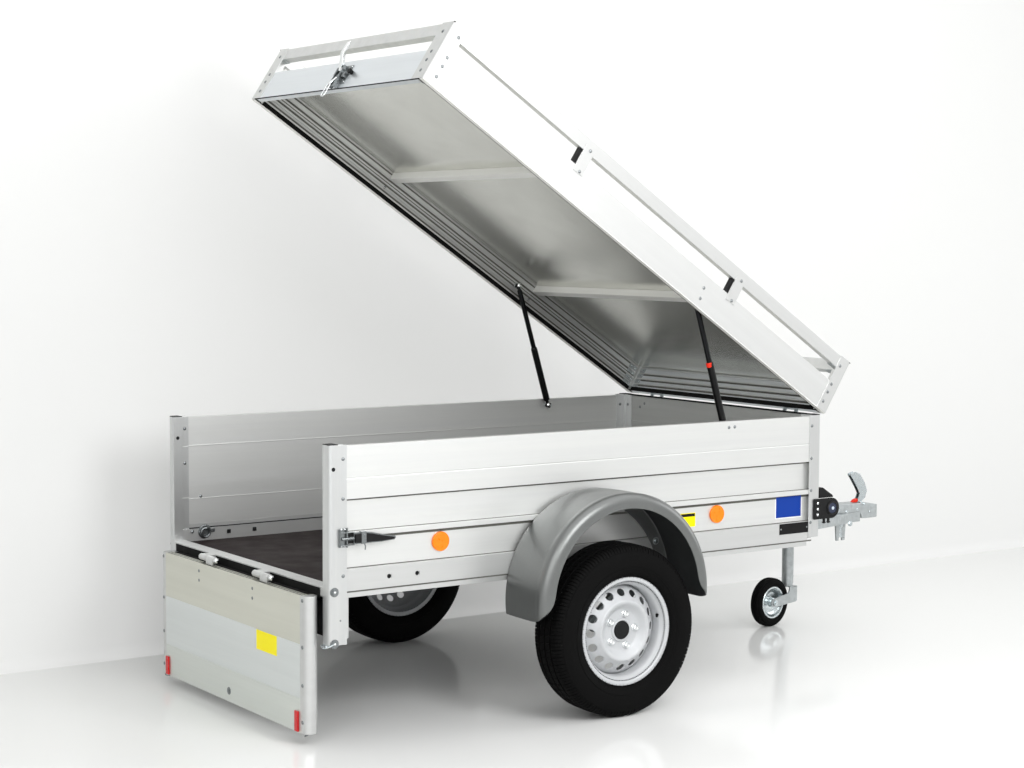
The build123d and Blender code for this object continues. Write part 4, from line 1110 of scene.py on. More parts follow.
class TRAILER_OT_mudguards(bpy.types.Operator):
    """Moulded mudguards with a rolled outer lip whose corners round off at both ends"""
    bl_idname = "trailer.mudguards"
    bl_label = "Mudguards"

    def execute(self, context):
        sizes = context.scene.trailer.guard
        for side, sign in SIDES:
            bm = bmesh.new()
            made = [guard_ring(bm, sizes, sign, k) for k in range(GUARD_RINGS + 1)]
            rings = [ring for ring, _ in made]
            across, skin = len(rings[0]), made[0][1]
            # Faces under the guard get the second, darker finish: painted shade.
            for number, face in enumerate(join_rings(bm, rings)):
                face.material_index = 1 if skin <= number % across < across - 4 else 0
            bm.faces.new(rings[0][::-1])
            bm.faces.new(rings[-1])
            bmesh.ops.remove_doubles(bm, verts=bm.verts[:], dist=0.00001)
            bmesh.ops.recalc_face_normals(bm, faces=bm.faces[:])
            mesh = loose_mesh(bm, "mudguard_look", "guard", "guard_painted_shade")
            link_piece(mesh, "mudguard_look_" + side, "chassis", ["mudguard_" + side], 60)
        x0, z0 = GUARD_MIDDLE
        angles = [math.radians(a) for a in (26.5, 68, 112, 153.5)]
        places = [(x0 + 317 * math.cos(a), z0 + 317 * math.sin(a)) for a in angles]
        bm = bmesh.new()
        for x, z in places:
            add_round(bm, spot(x, 587, z), spot(x, 589, z), 13, 32, 0.6)
        mirror(bm)
        finish_piece(bm, "guard_washers", "chassis", "galvanised")
        bolts = marks(OUT, *[(x, 589, z) for x, z in places])
        heads("guard_bolts", both_sides(bolts), "chassis", "zinc", 6.5, 4, hexagon=True)
        return {"FINISHED"}


# ---------------------------------------------------------------- lamps and reflectors
MARKER = (2117, 592, 598)


class TRAILER_OT_lamps(bpy.types.Operator):
    """Tail lamps, marker lamps on their arms, and reflectors"""
    bl_idname = "trailer.lamps"
    bl_label = "Lamps"

    def execute(self, context):
        self.tail_lamps()
        place = Matrix.Translation(spot(*MARKER))
        lens = [(0, 0.2), (0, 19.6), (3, 19.2), (4.6, 17.6), (5, 14), (4.6, 13), (5.2, 12), (4.8, 8),
                (5.4, 7), (5.8, 0.2)]
        turned_piece("marker_lenses", "chassis", "smoked", lens, place, 48, ["lamp_lenses"])
        core = [(5, 0.2), (5, 6.4), (6.2, 6.2), (6.8, 4), (6.9, 0.2)]
        turned_piece("marker_cores", "chassis", "clear", core, place, 32)
        self.marker_arms(place)
        disc = [(0, 0.2), (0, 32), (5.6, 32), (7.2, 31), (7.9, 29), (7.3, 28), (7.3, 0.2)]
        bm = bmesh.new()
        for x in (416, 1577):
            add_turned(bm, disc, Matrix.Translation(spot(x, WALL_FACE, 613.5)), 64)
        mirror(bm)
        finish_piece(bm, "side_reflector_faces", "chassis", "amber", ["side_reflectors"])
        return {"FINISHED"}

    def tail_lamps(self):
        """Three ribbed lenses side by side in a black housing."""
        for name, low, high, finish, slot in (
            ("tail_lens_amber", 440, 483, "amber", "amber_lens"),
            ("tail_lens_red", 386, 439, "red", "red_lens"),
            ("tail_lens_clear", 330, 385, "clear", "red_lens"),
        ):
            rows = [((12, 20.2), (low, high), (350, 450), 3)]
            for k in range(1, 5):
                y = low + (high - low) * k / 5
                rows.append(((11.4, 13), (y - 0.8, y + 0.8), (356, 444), 0.3))
            box_piece(name, "chassis", finish, rows, ["lamp_lenses"])
        rows = [((20, 40), (326, 534), (346, 454), 4), ((20, 26), (322, 538), (342, 458), 2)]
        rows += [((9, 24), y, (343, 457), 1.6) for y in ((323, 329), (484, 537))]
        rows += [((9, 24), (323, 537), z, 1.6) for z in ((343, 349), (451, 457))]
        box_piece("tail_housings", "chassis", "black", rows)

    def marker_arms(self, place):
        """Black arms that carry the marker lamps, with their bezels, ribs and rivets."""
        bm = bmesh.new()
        add_turned(bm, [(0, 19.8), (0, 25), (2.4, 25), (4.4, 23.4), (5, 21.4), (4.4, 19.8)], place, 48)
        angles = [math.pi * k / 20 for k in range(1, 20)]
        outline = [(2028, 562), (2028, 633), (2031, 636), (2115, 636)]
        outline += [(2115 + 38 * math.sin(a), 598 + 38 * math.cos(a)) for a in angles]
        add_prism(bm, outline + [(2115, 560), (2030, 560)], POST_FACE, 592, 1.4)
        for x in (2080, 2102):
            plate(bm, (x - 4.5, x + 4.5), (POST_FACE, 592), (543, 563), 1.2)
            plate(bm, (x - 6.5, x + 6.5), (585.2, 593.2), (545, 549), 0.8)
        fin = [(2064, 636), (2064, 674), (2068, 675), (2082, 675), (2130, 645), (2134, 640), (2134, 636)]
        add_prism(bm, fin, 560, 580, 1.6)
        mirror(bm)
        finish_piece(bm, "marker_arms", "chassis", "black", ["marker_lamp_holders"])
        rivets = marks(OUT, *[(2046, 592, z) for z in (620, 598, 577)])
        heads("marker_rivets", both_sides(rivets), "chassis", "chrome", 5.5, 2.4)


# ---------------------------------------------------------------- latches and rings
class TRAILER_OT_latches(bpy.types.Operator):
    """Toggle latches on the rear posts and lashing rings inside the box"""
    bl_idname = "trailer.latches"
    bl_label = "Latches and rings"

    def execute(self, context):
        self.toggle_latches()
        self.lashing_rings()
        return {"FINISHED"}

    def toggle_latches(self):
        """Bracket, cross pin, spring and tapering lever with a black grip."""
        bm = bmesh.new()
        plate(bm, (34, 63.5), (POST_FACE, 588), (626, 686), 0.8)
        plate(bm, (34, 36.5), (POST_FACE, 597), (628, 684), 0.8)
        for z in (632, 672):
            plate(bm, (36, 84), (POST_FACE, 600), (z, z + 2.4), 0.8)
        add_round(bm, spot(60, 593, 626), spot(60, 593, 688), 3, 16, 0.8)
        add_round(bm, spot(40, 593, 653), spot(84, 593, 653), 5, 20, 1)
        for x in (66, 72, 78):
            add_round(bm, spot(x, 593, 653), spot(x + 3.4, 593, 653), 7, 20, 1)
        plate(bm, (108, 126), (583.5, 600.5), (634, 673), 1.6)
        add_round(bm, spot(119, 584, 660), spot(119, 603, 660), 3.5, 16, 0.8)
        add_tube(bm, smooth_path([spot(119, 598, 634), spot(122, 599, 626), spot(121, 599, 615)], 5), 2, 10)
        blade = [(84, 634), (84, 670), (127, 670), (150, 667), (192, 657), (234, 649), (237, 645),
                 (232, 637.5), (180, 634.5)]
        add_prism(bm, blade, 589.5, 594, 1)
        mirror(bm)
        finish_piece(bm, "toggle_latches", "chassis", "rivet", ["side_latches"])
        bm = bmesh.new()
        grip = [(86, 638), (86, 666), (127, 667), (150, 663), (190, 654), (228, 647), (231, 644),
                (226, 640.5), (180, 638)]
        add_prism(bm, grip, 593, 600, 2)
        plate(bm, (64, 86), (586, 590), (636, 671), 1)
        mirror(bm)
        finish_piece(bm, "latch_grips", "chassis", "black")
        rivets = marks(OUT, *[(x, 588, z) for x in (43, 56) for z in (630, 682)])
        heads("latch_rivets", both_sides(rivets), "chassis", "chrome", 3.2, 1.6)

    def lashing_rings(self):
        """Rings that hang on bent staples over dished plates."""
        bm = bmesh.new()
        dish = [(-552, 0.2), (-552, 25), (-549.6, 25.6), (-547.4, 24), (-546.6, 20), (-548.6, 17.6),
                (-548.6, 0.2)]
        add_turned(bm, dish, Matrix.Translation(spot(121, 0, 527)) @ Matrix.Rotation(math.pi, 4, "Z"), 48)
        staple = [(105, 548, 532), (108, 540, 538), (121, 536, 541), (134, 540, 538), (137, 548, 532)]
        add_tube(bm, smooth_path([spot(*point) for point in staple], 6), 3.4, 12)
        angles = [math.tau * k / 14 for k in range(14)]
        hang = Vector((0, 1, 0.16)).to_track_quat("Y", "Z").to_matrix().to_4x4()
        ring = [(3.4 * math.sin(a), 17 + 3.4 * math.cos(a)) for a in angles]
        add_turned(bm, ring, Matrix.Translation(spot(121, 540.6, 525)) @ hang, 48)
        plate(bm, (146, 160), (546.6, 550.4), (523, 536), 1.6)
        mirror(bm)
        finish_piece(bm, "lashing_rings", "chassis", "rivet", ["tie_rings"])
        rivets = both_sides(marks(IN, (100.5, 546.8, 527), (141.5, 546.8, 527)))
        heads("ring_rivets", rivets, "chassis", "rivet", 3, 1.8)
        bolts = both_sides(marks(IN, (72, 549.4, 530)))
        heads("floor_edge_bolts", bolts, "chassis", "rivet", 6.5, 4.5)


# ---------------------------------------------------------------- coupling
class TRAILER_OT_coupling(bpy.types.Operator):
    """Ball coupling, its handle, pins and safety marker"""
    bl_idname = "trailer.coupling"
    bl_label = "Coupling"

    def execute(self, context):
        dressed("coupling_head", "galvanised", 3)
        cheek = [(2822, 511), (2839, 500), (2866, 519), (2875, 549), (2861, 583), (2832, 621), (2808, 630),
                 (2781, 624), (2780, 616), (2797, 598), (2819, 564), (2836, 538)]
        web = [(2839, 502), (2864, 521), (2872, 549), (2858, 581), (2831, 618), (2808, 627), (2784, 621),
               (2788, 614), (2806, 617), (2824, 610), (2849, 577), (2862, 548), (2856, 526), (2834, 512)]
        bm = bmesh.new()
        add_prism(bm, cheek, -10, -7, 1.2)
        add_prism(bm, cheek, 7, 10, 1.2)
        add_prism(bm, web, -7.5, 7.5, 1)
        finish_piece(bm, "coupling_handle_look", "chassis", "zinc", ["coupling_handle"])
        bm = bmesh.new()
        for x, z, radius in ((2738, 470, 7), (2800, 476, 7), (2838, 496, 6), (2868, 462, 4)):
            add_round(bm, spot(x, -35, z), spot(x, 35, z), radius, 20, 1.2)
        add_round(bm, spot(2838, -18, 500), spot(2838, 18, 500), 5, 20, 1)
        fin = [(2707, 430), (2763, 430), (2757, 361), (2722, 361)]
        add_prism(bm, fin, -3.2, -1, 0.6)
        add_prism(bm, fin, 1, 3.2, 0.6)
        finish_piece(bm, "coupling_pins", "chassis", "zinc")
        bm = bmesh.new()
        add_prism(bm, [(2796, 502), (2806, 512), (2822, 517), (2828, 510), (2820, 502)], -9, 9, 1.5)
        finish_piece(bm, "coupling_marker", "chassis", "red_cap")
        return {"FINISHED"}


# ---------------------------------------------------------------- jockey wheel
JOCKEY_X, JOCKEY_Y = 2572, 137
JOCKEY_PIN = (-115, 100)
CRANK_REACH = 84
SWING = Matrix.Translation(spot(JOCKEY_X, JOCKEY_Y, 0)) @ Matrix.Rotation(math.radians(8), 4, "Z")


def upright(x):
    """Matrix that stands a turned outline up at a place along the trailer, beside the drawbar."""
    return Matrix.Translation(spot(x, JOCKEY_Y, 0)) @ Matrix.Rotation(math.pi / 2, 4, "X")


class TRAILER_OT_jockey(bpy.types.Operator):
    """Jockey wheel, fork, tube, clamp and crank"""
    bl_idname = "trailer.jockey"
    bl_label = "Jockey wheel"

    def execute(self, context):
        dressed("jockey_clamp", "galvanised", 1.6)
        self.leg()
        self.fork()
        self.wheel()
        return {"FINISHED"}

    def leg(self):
        """Outer tube with its collar, spindle and crank."""
        tube = [(165, 21.6), (165, 23.4), (166, 24), (757, 24), (758, 25.5), (760, 27), (770, 27), (772, 25),
                (773, 20), (773, 6.2), (760, 6.2), (759, 21.6)]
        bm = bmesh.new()
        add_turned(bm, tube, upright(JOCKEY_X), 48)
        add_round(bm, spot(JOCKEY_X, JOCKEY_Y, 768), spot(JOCKEY_X, JOCKEY_Y, 788), 6, 20, 1)
        arm = [(-8, 786), (0, 788), (62, 788), (78, 784), (CRANK_REACH, 772)]
        add_tube(bm, smooth_path([spot(JOCKEY_X + x, JOCKEY_Y, z) for x, z in arm], 6), 6, 14)
        finish_piece(bm, "jockey_tube", "jockey_leg", "galvanised", ["jockey_outer_tube"])
        grip = [(720, 0.2), (720, 7), (723, 9), (734, 9.4), (750, 8.4), (768, 9.4), (776, 9), (778, 7),
                (778, 0.2)]
        bm = bmesh.new()
        add_turned(bm, grip, upright(JOCKEY_X + CRANK_REACH), 32)
        finish_piece(bm, "crank_grip", "jockey_leg", "black")

    def fork(self):
        """Inner tube on a fork whose two cheeks carry the wheel's pin."""
        cheek = [(24, 156), (-24, 156), (-25, 138), (-34, 127), (-92, 122), (-128, 115), (-137, 109),
                 (-140, 100), (-137, 91), (-128, 86), (-92, 82), (-30, 88), (18, 90), (24, 96)]
        x, z = JOCKEY_PIN
        bm = bmesh.new()
        add_box(bm, Vector((-12, -33, 150)) * MM, Vector((24, 33, 156)) * MM, 1.4)
        for low, high in ((28, 33), (-33, -28)):
            add_prism(bm, cheek, low, high, 1.4, 0)
        for low, high, radius, bevel in ((-36, 36, 9.8, 1), (-36, -33, 14, 0.8), (33, 36, 14, 0.8)):
            add_round(bm, Vector((x, low, z)) * MM, Vector((x, high, z)) * MM, radius, 28, bevel)
        bmesh.ops.transform(bm, matrix=SWING, verts=bm.verts[:])
        inner_tube = [(152, 0.2), (152, 20.6), (153, 21.4), (600, 21.4), (601, 20), (601, 0.2)]
        add_turned(bm, inner_tube, upright(JOCKEY_X), 40)
        finish_piece(bm, "jockey_fork_look", "jockey_swivel_fork", "galvanised",
                     ["jockey_fork"])

    def wheel(self):
        """Rubber tyre with a middle groove, pressed rim and the nuts of its pin."""
        axle = SWING @ Matrix.Translation(Vector((JOCKEY_PIN[0], 0, JOCKEY_PIN[1])) * MM)
        tyre = [(0, 96.4), (2.4, 96.4), (3.2, 99.6), (4.4, 100), (13, 99.4), (16.4, 98.2), (17.4, 93.4),
                (18.6, 91.8), (22, 90.6), (24.2, 86), (25, 80), (24.6, 73), (23.2, 68.6), (21.4, 66.4),
                (19.6, 65.4)]
        rim = [(24, 10.1), (24, 16), (23, 18), (10, 18.4), (7, 20), (6, 24), (6, 38), (7, 44), (10, 50),
               (15, 55), (19, 57.4), (21.4, 59), (22, 61), (21.8, 65), (20.6, 66.2), (16, 62)]
        for name, half, first, steps, slot, finish in (
            ("jockey_tyre", tyre, 1, 96, "jockey_rubber", "tyre"),
            ("jockey_rim", rim, 0, 80, "zinc_rim", "zinc"),
        ):
            bm = bmesh.new()
            add_turned(bm, half + [(-w, r) for w, r in reversed(half[first:])], axle, steps)
            finish_piece(bm, name + "_look", "jockey_wheel", finish, [name])
        nuts = [(axle @ Vector((0, s * 36 * MM, 0)), axle.to_3x3() @ Vector((0, s, 0))) for s in (1, -1)]
        heads("jockey_nuts", nuts, "jockey_swivel_fork", "zinc", 9, 5, hexagon=True)


# ---------------------------------------------------------------- tailgate
GATE_HINGES = (-200, 200)


def gate_band(centre):
    """Number of the plank that a face of the tailgate belongs to, by its height."""
    if centre.z <= 0.146:
        return 2
    return 0 if centre.z < 0.318 else 1


class TRAILER_OT_tailgate(bpy.types.Operator):
    """Hanging tailgate with its hinges, rivets, reflectors and stud"""
    bl_idname = "trailer.tailgate"
    bl_label = "Tailgate"

    def execute(self, context):
        dressed("gate_panel", "plank_bright", 0.8, gate_band, ("plank_warm", "plank_dull"))
        dressed("gate_side_profiles", "rail", 1.2)
        dressed("gate_reflectors", "red", 1.6)
        sides = marks(BACK, *[(-56, 514, z) for z in (458, 311, 190, 73)])
        heads("gate_rivets", both_sides(sides), "tailgate", "rivet", 6.4, 2.8)
        rivets = marks(BACK, *[(-56, y + 26, z) for y in GATE_HINGES for z in (446, 414)])
        heads("gate_hinge_rivets", rivets, "tailgate", "rivet", 5.6, 2)
        bm = bmesh.new()
        for y in GATE_HINGES:
            knuckle = [(y - 48, 5.2), (y - 48, 10), (y - 47, 11), (y + 2, 11), (y + 3, 10), (y + 3, 5.2)]
            add_turned(bm, knuckle, Matrix.Translation(spot(-31, 0, 490)), 40)
            plate(bm, (-42, -36), (y - 47, y + 2), (470, 490), 1)
            plate(bm, (-42, -26), (y - 47, y + 2), (470.2, 474), 1)
        finish_piece(bm, "gate_knuckles", "tailgate", "rail", ["gate_fittings"])
        # The wide strip, in the gap between the gate's top and the sill, is painted shade that stands for the
        # dark gap.
        box_piece("gate_top_beads_and_gap_shadow", "tailgate", "seal", [
            ((-47, -44), (-496, 496), (471.2, 472.5), 0.4), ((-36, -33), (-496, 496), (471.2, 472.5), 0.4),
            ((-26, -6.4), (-496, 496), (455, 472.4), 0.5)])
        caps = marks(IN, *[(-31, y - 60, 490) for y in GATE_HINGES])
        heads("hinge_pin_heads", caps, "chassis", "chrome", 9.4, 6.5)
        self.stud_and_hooks()
        return {"FINISHED"}

    def stud_and_hooks(self):
        """Stud in the gate's middle, wire eyes at its foot and the stay hooks on the posts."""
        eye = [(-26, 500, 42), (-30, 506, 31), (-44, 512, 28), (-50, 520, 31), (-46, 524, 38)]
        hook = [(14, 590, 325), (-4, 588, 318), (-14, 572, 314), (-8, 556, 318), (6, 552, 322)]
        stud, hooks = bmesh.new(), bmesh.new()
        add_round(stud, spot(-57.6, 0, 74), spot(-55, 0, 74), 13, 32, 0.8)
        add_round(stud, spot(-60, 0, 74), spot(-57, 0, 74), 8.4, 6, 0.8)
        for _, sign in SIDES:
            add_tube(stud, smooth_path([spot(x, y * sign, z) for x, y, z in eye], 6), 1.6, 10)
            add_tube(hooks, smooth_path([spot(x, y * sign, z) for x, y, z in hook], 6), 2.6, 10)
            plate(hooks, (-14, 6), sorted((553 * sign, 584 * sign)), (318, 321), 0.8)
        finish_piece(stud, "gate_stud", "tailgate", "rivet")
        finish_piece(hooks, "gate_stay_hooks", "chassis", "zinc")


# ---------------------------------------------------------------- lid
INSIDE_X = (29, 2055)
INSIDE_Y = (-560, 560)
BRACKETS = (642, 1442)
GUSSET_ROWS = ((563.6, (16, 44)), (569.6, (70, 94)))


class TRAILER_OT_lid(bpy.types.Operator):
    """Lid frame, rails, stucco roof and the ribs inside its walls"""
    bl_idname = "trailer.lid"
    bl_label = "Lid"

    def execute(self, context):
        for node, finish, edge in (
            ("lid_side_left", "plank_lid", 0.9), ("lid_side_right", "plank_lid", 0.9),
            ("lid_end_panels", "plank_across", 0.9), ("lid_roof", "stucco", 0.3),
            ("lid_corner_posts", "rail", 0.9), ("lid_rails", "rail_lid", 1.4),
            ("lid_braces", "brace", 1.2), ("lid_fittings", "zinc", 0.5),
        ):
            dressed(node, finish, edge)
        box_piece("lid_seal_strip", "lid", "seal", [
            ((26, 2058), (562, 566.4), (-1, 15), 0.9), ((2078.5, 2083.4), (-566, 566), (-0.8, 0.4), 0.3),
            ((24.6, 29), (-562, 562), (-2.6, 15), 0.9)], ["lid_seal"])
        lip = ((4, 2082), (568, 588.4), (-2, 0.4), 0.8)
        box_piece("lid_edge_lip", "lid", "brace", [lip])
        self.inner_ribs(context.scene.trailer.lid.rib)
        box_piece("lid_gussets", "lid", "galvanised", [
            ((25, 27), (518, 566), (4, 106), 0.5), ((27, 74), (563.6, 565.8), (4, 57), 0.5),
            ((27, 74), (569.6, 571.8), (59, 106), 0.5)])
        rivets = [(a, y, b) for y, ups in GUSSET_ROWS for a in (40, 62) for b in ups]
        rivets = marks(IN, *rivets, place=lid_spot)
        ends = [(27, y, b) for y in (530, 552) for b in (16, 44, 70, 94)]
        rivets += marks(BACK, *ends, place=lid_spot)
        heads("gusset_rivets", both_sides(rivets), "lid", "zinc", 4.2, 2, turn=LID_TURN)
        return {"FINISHED"}

    def inner_ribs(self, rib):
        """Ribs along the inside of the lid's walls, and dark strips under them that are painted shade."""
        rows = [(INSIDE_X, (566 - rib, 566.2), up, 0.8) for up in ((28, 32), (36, 39), (52, 58))]
        rows += [(INSIDE_X, (572 - rib, 572.2), up, 0.8) for up in ((78, 82), (102, 106))]
        rows += [((24.8, 25 + rib), INSIDE_Y, up, 0.8) for up in ((28, 32), (52, 58), (78, 82), (102, 106))]
        box_piece("lid_inner_ribs", "lid", "plank_lid", rows)
        # Painted shadow: dark grey strips just under the ribs stand for the shade beneath them.
        rows = [(INSIDE_X, (565.2, 566.3), up, 0.2) for up in ((22, 28), (46, 52), (59, 63))]
        rows += [(INSIDE_X, (571.2, 572.3), up, 0.2) for up in ((72, 78), (97, 102))]
        rows += [((24.7, 25.8), INSIDE_Y, up, 0.2) for up in ((22, 28), (46, 52), (72, 78))]
        box_piece("lid_painted_joint_shadows", "lid", "step_shade", rows)


class TRAILER_OT_lid_fasteners(bpy.types.Operator):
    """Rivets, rail brackets and spacer blocks of the lid"""
    bl_idname = "trailer.lid_fasteners"
    bl_label = "Lid fasteners"

    def execute(self, context):
        ups = (31, 71, 104, 182)
        sides = [(a, 591, b) for a in (40, 2045) for b in ups] + [(750, 588.5, 70), (744, 588.5, 31)]
        sides += [(back - 22, 591, b) for back in BRACKETS for b in (100, 182)]
        rivets = marks(OUT, *sides, place=lid_spot)
        rivets += marks(BACK, *[(LID_LENGTH, 551, b) for b in ups], place=lid_spot)
        rivets += marks(AHEAD, *[(0, 551, b) for b in ups], place=lid_spot)
        rivets += marks(IN, (660, 566, 40), (1455, 566, 40), place=lid_spot)
        heads("lid_rivets", both_sides(rivets), "lid", "rivet",
              context.scene.trailer.lid.rivet, 2.8, turn=LID_TURN)
        rows = [((back - 40, back + 4), (588.5, 591), (92, 193), 0.8) for back in BRACKETS]
        box_piece("rail_bracket_plates", "lid", "rail_lid", rows, ["lid_rail_brackets"])
        rows = [((back + 3, back + 17), (568, 586), (113, 171), 1) for back in BRACKETS]
        rows += [(ends, (551, 590.4), (216, 218.6), 0.8) for ends in ((0.5, 32), (2053, 2084.5))]
        box_piece("rail_spacers", "lid", "black", rows, ["lid_rail_brackets"])
        box_piece("rail_corner_angles", "lid", "galvanised", [
            ((3, 28), (505, 549), (168, 171), 0.6), ((2057, 2082), (505, 549), (168, 171), 0.6),
            ((33, 80), (563, 588), (168, 171), 0.6)])
        return {"FINISHED"}


class TRAILER_OT_lid_latch(bpy.types.Operator):
    """Rear lid latch with its lever, lock cylinder and hanging loop"""
    bl_idname = "trailer.lid_latch"
    bl_label = "Lid latch"

    def execute(self, context):
        self.body()
        self.lever()
        knob = [(0, 0.2), (0, 8), (8, 8), (9, 9.4), (14, 9.4), (15.6, 8), (16, 6), (15.2, 5), (15.2, 0.2)]
        place = Matrix.Translation(lid_spot(LID_LENGTH, -92, 58)) @ Matrix.Rotation(math.pi / 2, 4, "Z")
        bm = bmesh.new()
        add_turned(bm, knob, place, 40)
        finish_piece(bm, "lid_lock", "lid", "black", (), LID_TURN)
        rivets = marks(BACK, *[(LID_LENGTH, y, b) for y in (-66, 2) for b in (24, 86)], place=lid_spot)
        heads("lid_latch_rivets", rivets, "lid", "chrome", 3.6, 1.8, turn=LID_TURN)
        return {"FINISHED"}

    def body(self):
        """Back plate, two cheeks and the pins and catches between them."""
        bm = bmesh.new()
        for back, y, up, bevel in (
            ((2082.5, LID_LENGTH), (-72, 8), (18, 92), 0.8), ((LID_LENGTH, 2104), (-44, -41), (-4, 84), 1),
            ((LID_LENGTH, 2104), (-14, -11), (-4, 84), 1), ((LID_LENGTH, 2099), (-10, 6), (46, 78), 1.5),
            ((LID_LENGTH, 2097), (-66, -48), (38, 58), 1.5),
        ):
            lid_plate(bm, back, y, up, bevel)
        for y, up, radius in ((-58, 80, 5.5), (-58, 30, 4.5), (2, 62, 4.5), (2, 34, 4.5)):
            add_round(bm, lid_spot(LID_LENGTH, y, up), lid_spot(2088.5, y, up), radius, 16, 0.8)
        for start, end, radius, sides in (
            ((2097, -50, 70), (2097, -8, 70), 5, 20), ((2098, -46, 4), (2098, -10, 4), 4.5, 20),
            ((2096, -38, 48), (2096, -16, 30), 5.5, 16),
        ):
            add_round(bm, lid_spot(*start), lid_spot(*end), radius, sides, 1)
        finish_piece(bm, "lid_latch_body", "lid", "rivet", ["lid_latch"], LID_TURN)

    def lever(self):
        """Chromed lever that stands up past the rail, with the link and the loop that hang from it."""
        bm = bmesh.new()
        side = [(2091, 62), (2100, 60), (2106, 72), (2128, 118), (2125, 166), (2120, 168), (2119, 122),
                (2093, 76)]
        add_prism(bm, [(LID_FRONT - a, LID_EDGE + b) for a, b in side], -36, -18, 1.4)
        link = smooth_path([lid_spot(2098, -29, 34), lid_spot(2106, -26, 10), lid_spot(2108, -24, 0)], 6)
        add_tube(bm, link, 4, 12)
        corners = [(-35, -4), (-35, -42), (-30, -48), (-20, -48), (-15, -42), (-15, -4), (-20, 1), (-30, 1)]
        add_tube(bm, smooth_path([lid_spot(2108.5, y, b) for y, b in corners], 4, True), 2.6, 12, True)
        finish_piece(bm, "lid_latch_lever", "lid", "chrome", (), LID_TURN)


# ---------------------------------------------------------------- gas struts
class TRAILER_OT_struts(bpy.types.Operator):
    """Gas struts with their end fittings, ball studs and stop collar"""
    bl_idname = "trailer.struts"
    bl_label = "Gas struts"

    def execute(self, context):
        for side, sign in SIDES:
            foot = spot(1632, 541 * sign, 919)
            stud = LID_TURN @ lid_spot(747, 541 * sign, 52)
            self.bars(side, sign, foot, stud)
            foot_cap = [(-14.6, 0.2), (-14.6, 6), (-13.4, 9), (-11, 11), (-9.6, 11), (-9.2, 0.2)]
            stud_cap = [(-14.6, 0.2), (-14.6, 5), (-13, 8.4), (-9.8, 10.4), (-9.2, 0.2)]
            washer = [(9.4, 5), (9.4, 9), (13, 10.5), (15, 10.5), (15, 5)]
            for name, body, middle, profiles in (
                ("strut_foot_cap_", "chassis", foot, (foot_cap,)),
                ("strut_stud_cap_", "lid", stud, (stud_cap, washer)),
            ):
                bm = bmesh.new()
                for profile in profiles:
                    add_turned(bm, profile, Matrix.Translation(middle) @ Matrix.Diagonal((1, sign, 1, 1)), 32)
                finish_piece(bm, name + side, body, "chrome")
        # SIDES ends with the right side: its tube has a red stop collar, a little off its line
        along = (stud - foot).normalized() * MM
        foot = foot + Vector((-3.4, -0.6, 0)) * MM
        bm = bmesh.new()
        add_tube(bm, [foot + along * d for d in (227, 229, 241, 243)], [10.4, 11.6, 11.6, 10.4], 28)
        finish_piece(bm, "strut_collar", "strut_tube_right_body", "red_cap")
        return {"FINISHED"}

    def bars(self, side, sign, foot, stud):
        """Tube and rod between the two studs, each with its eye."""
        span = (stud - foot).length / MM
        along = (stud - foot).normalized() * MM
        across = Vector((0, sign, 0)) * 9 * MM
        tube = [(7, 5.6), (9, 6.4), (18.4, 6.4), (20, 10), (23, 12.2), (26, 12.8), (236, 12.8), (239, 12.4),
                (243, 11.4), (245, 9.6)]
        rod = [(span - 283, 8.4), (span - 281, 9.5), (span - 22, 9.5), (span - 18, 8.6), (span - 16.5, 6.4),
               (span - 8, 6.4)]
        for name, steps, eye, radius, slot, finish in (
            ("strut_tube_", tube, foot, 9.6, "strut_black", "powder"),
            ("strut_rod_", rod, stud, 8.8, "strut_steel", "rod"),
        ):
            bm = bmesh.new()
            add_tube(bm, [foot + along * d for d, _ in steps], [r for _, r in steps], 28)
            add_round(bm, eye - across, eye + across, radius, 28, 2)
            finish_piece(bm, name + "look_" + side, name + side + "_body", finish, [name + side])


# ---------------------------------------------------------------- blank labels
LABELS = (
    ("side_sticker_border", "panel_aluminium", "white_film", (1857, 1985), (-569.7, -569.2), (573, 655)),
    ("side_sticker", "panel_aluminium", "blue_film", (1860, 1982), (-570, -569.6), (576, 652)),
    ("data_plate", "black_plastic", "black_plate", (1866, 2007), (-584.3, -583.2), (516, 555)),
    ("side_caution", "amber_lens", "yellow_film", (1413, 1480), (-569.8, -569.2), (577, 626)),
    ("side_caution_head", "black_plastic", "black_plate", (1415, 1478), (-570, -569.7), (613, 624)),
    ("gate_caution", "amber_lens", "yellow_film", (-56.5, -55.9), (-344, -203), (253, 317)),
)


class TRAILER_OT_labels(bpy.types.Operator):
    """Blank stickers and plates"""
    bl_idname = "trailer.labels"
    bl_label = "Blank labels"

    def execute(self, context):
        for name, slot, finish, x, y, z in LABELS:
            body = "tailgate" if name.startswith("gate") else "chassis"
            box_piece(name, body, finish, [(x, y, z, 0.1)], mirrored=False)
        rivets = marks(IN, (1873, -584.3, 535.5), (2000, -584.3, 535.5))
        heads("plate_rivets", rivets, "chassis", "rivet", 3.6, 1.6)
        return {"FINISHED"}


# ---------------------------------------------------------------- studio
PAPER_WHITE = (0.955, 0.957, 0.95, 1.0)
COVE_NEAR, COVE_TOP, COVE_ROUND = -9.0, 9.0, 0.05
COVE_SIDES = (-9.0, 14.0)
CAMERA_PLACE = (-4.3467, -5.8239, 1.5796)
CAMERA_YAW, CAMERA_PITCH, CAMERA_ROLL = 0.6015, 0.0736, -0.005
CAMERA_LENS = 68.52


def studio_paint(name, colour, rough):
    """White studio paint, matt or lacquered by its roughness."""
    material = bpy.data.materials.new(name)
    material.use_nodes = True
    shader = material.node_tree.nodes["Principled BSDF"]
    shader.inputs["Base Color"].default_value = (*colour, 1.0)
    shader.inputs["Roughness"].default_value = rough
    return material


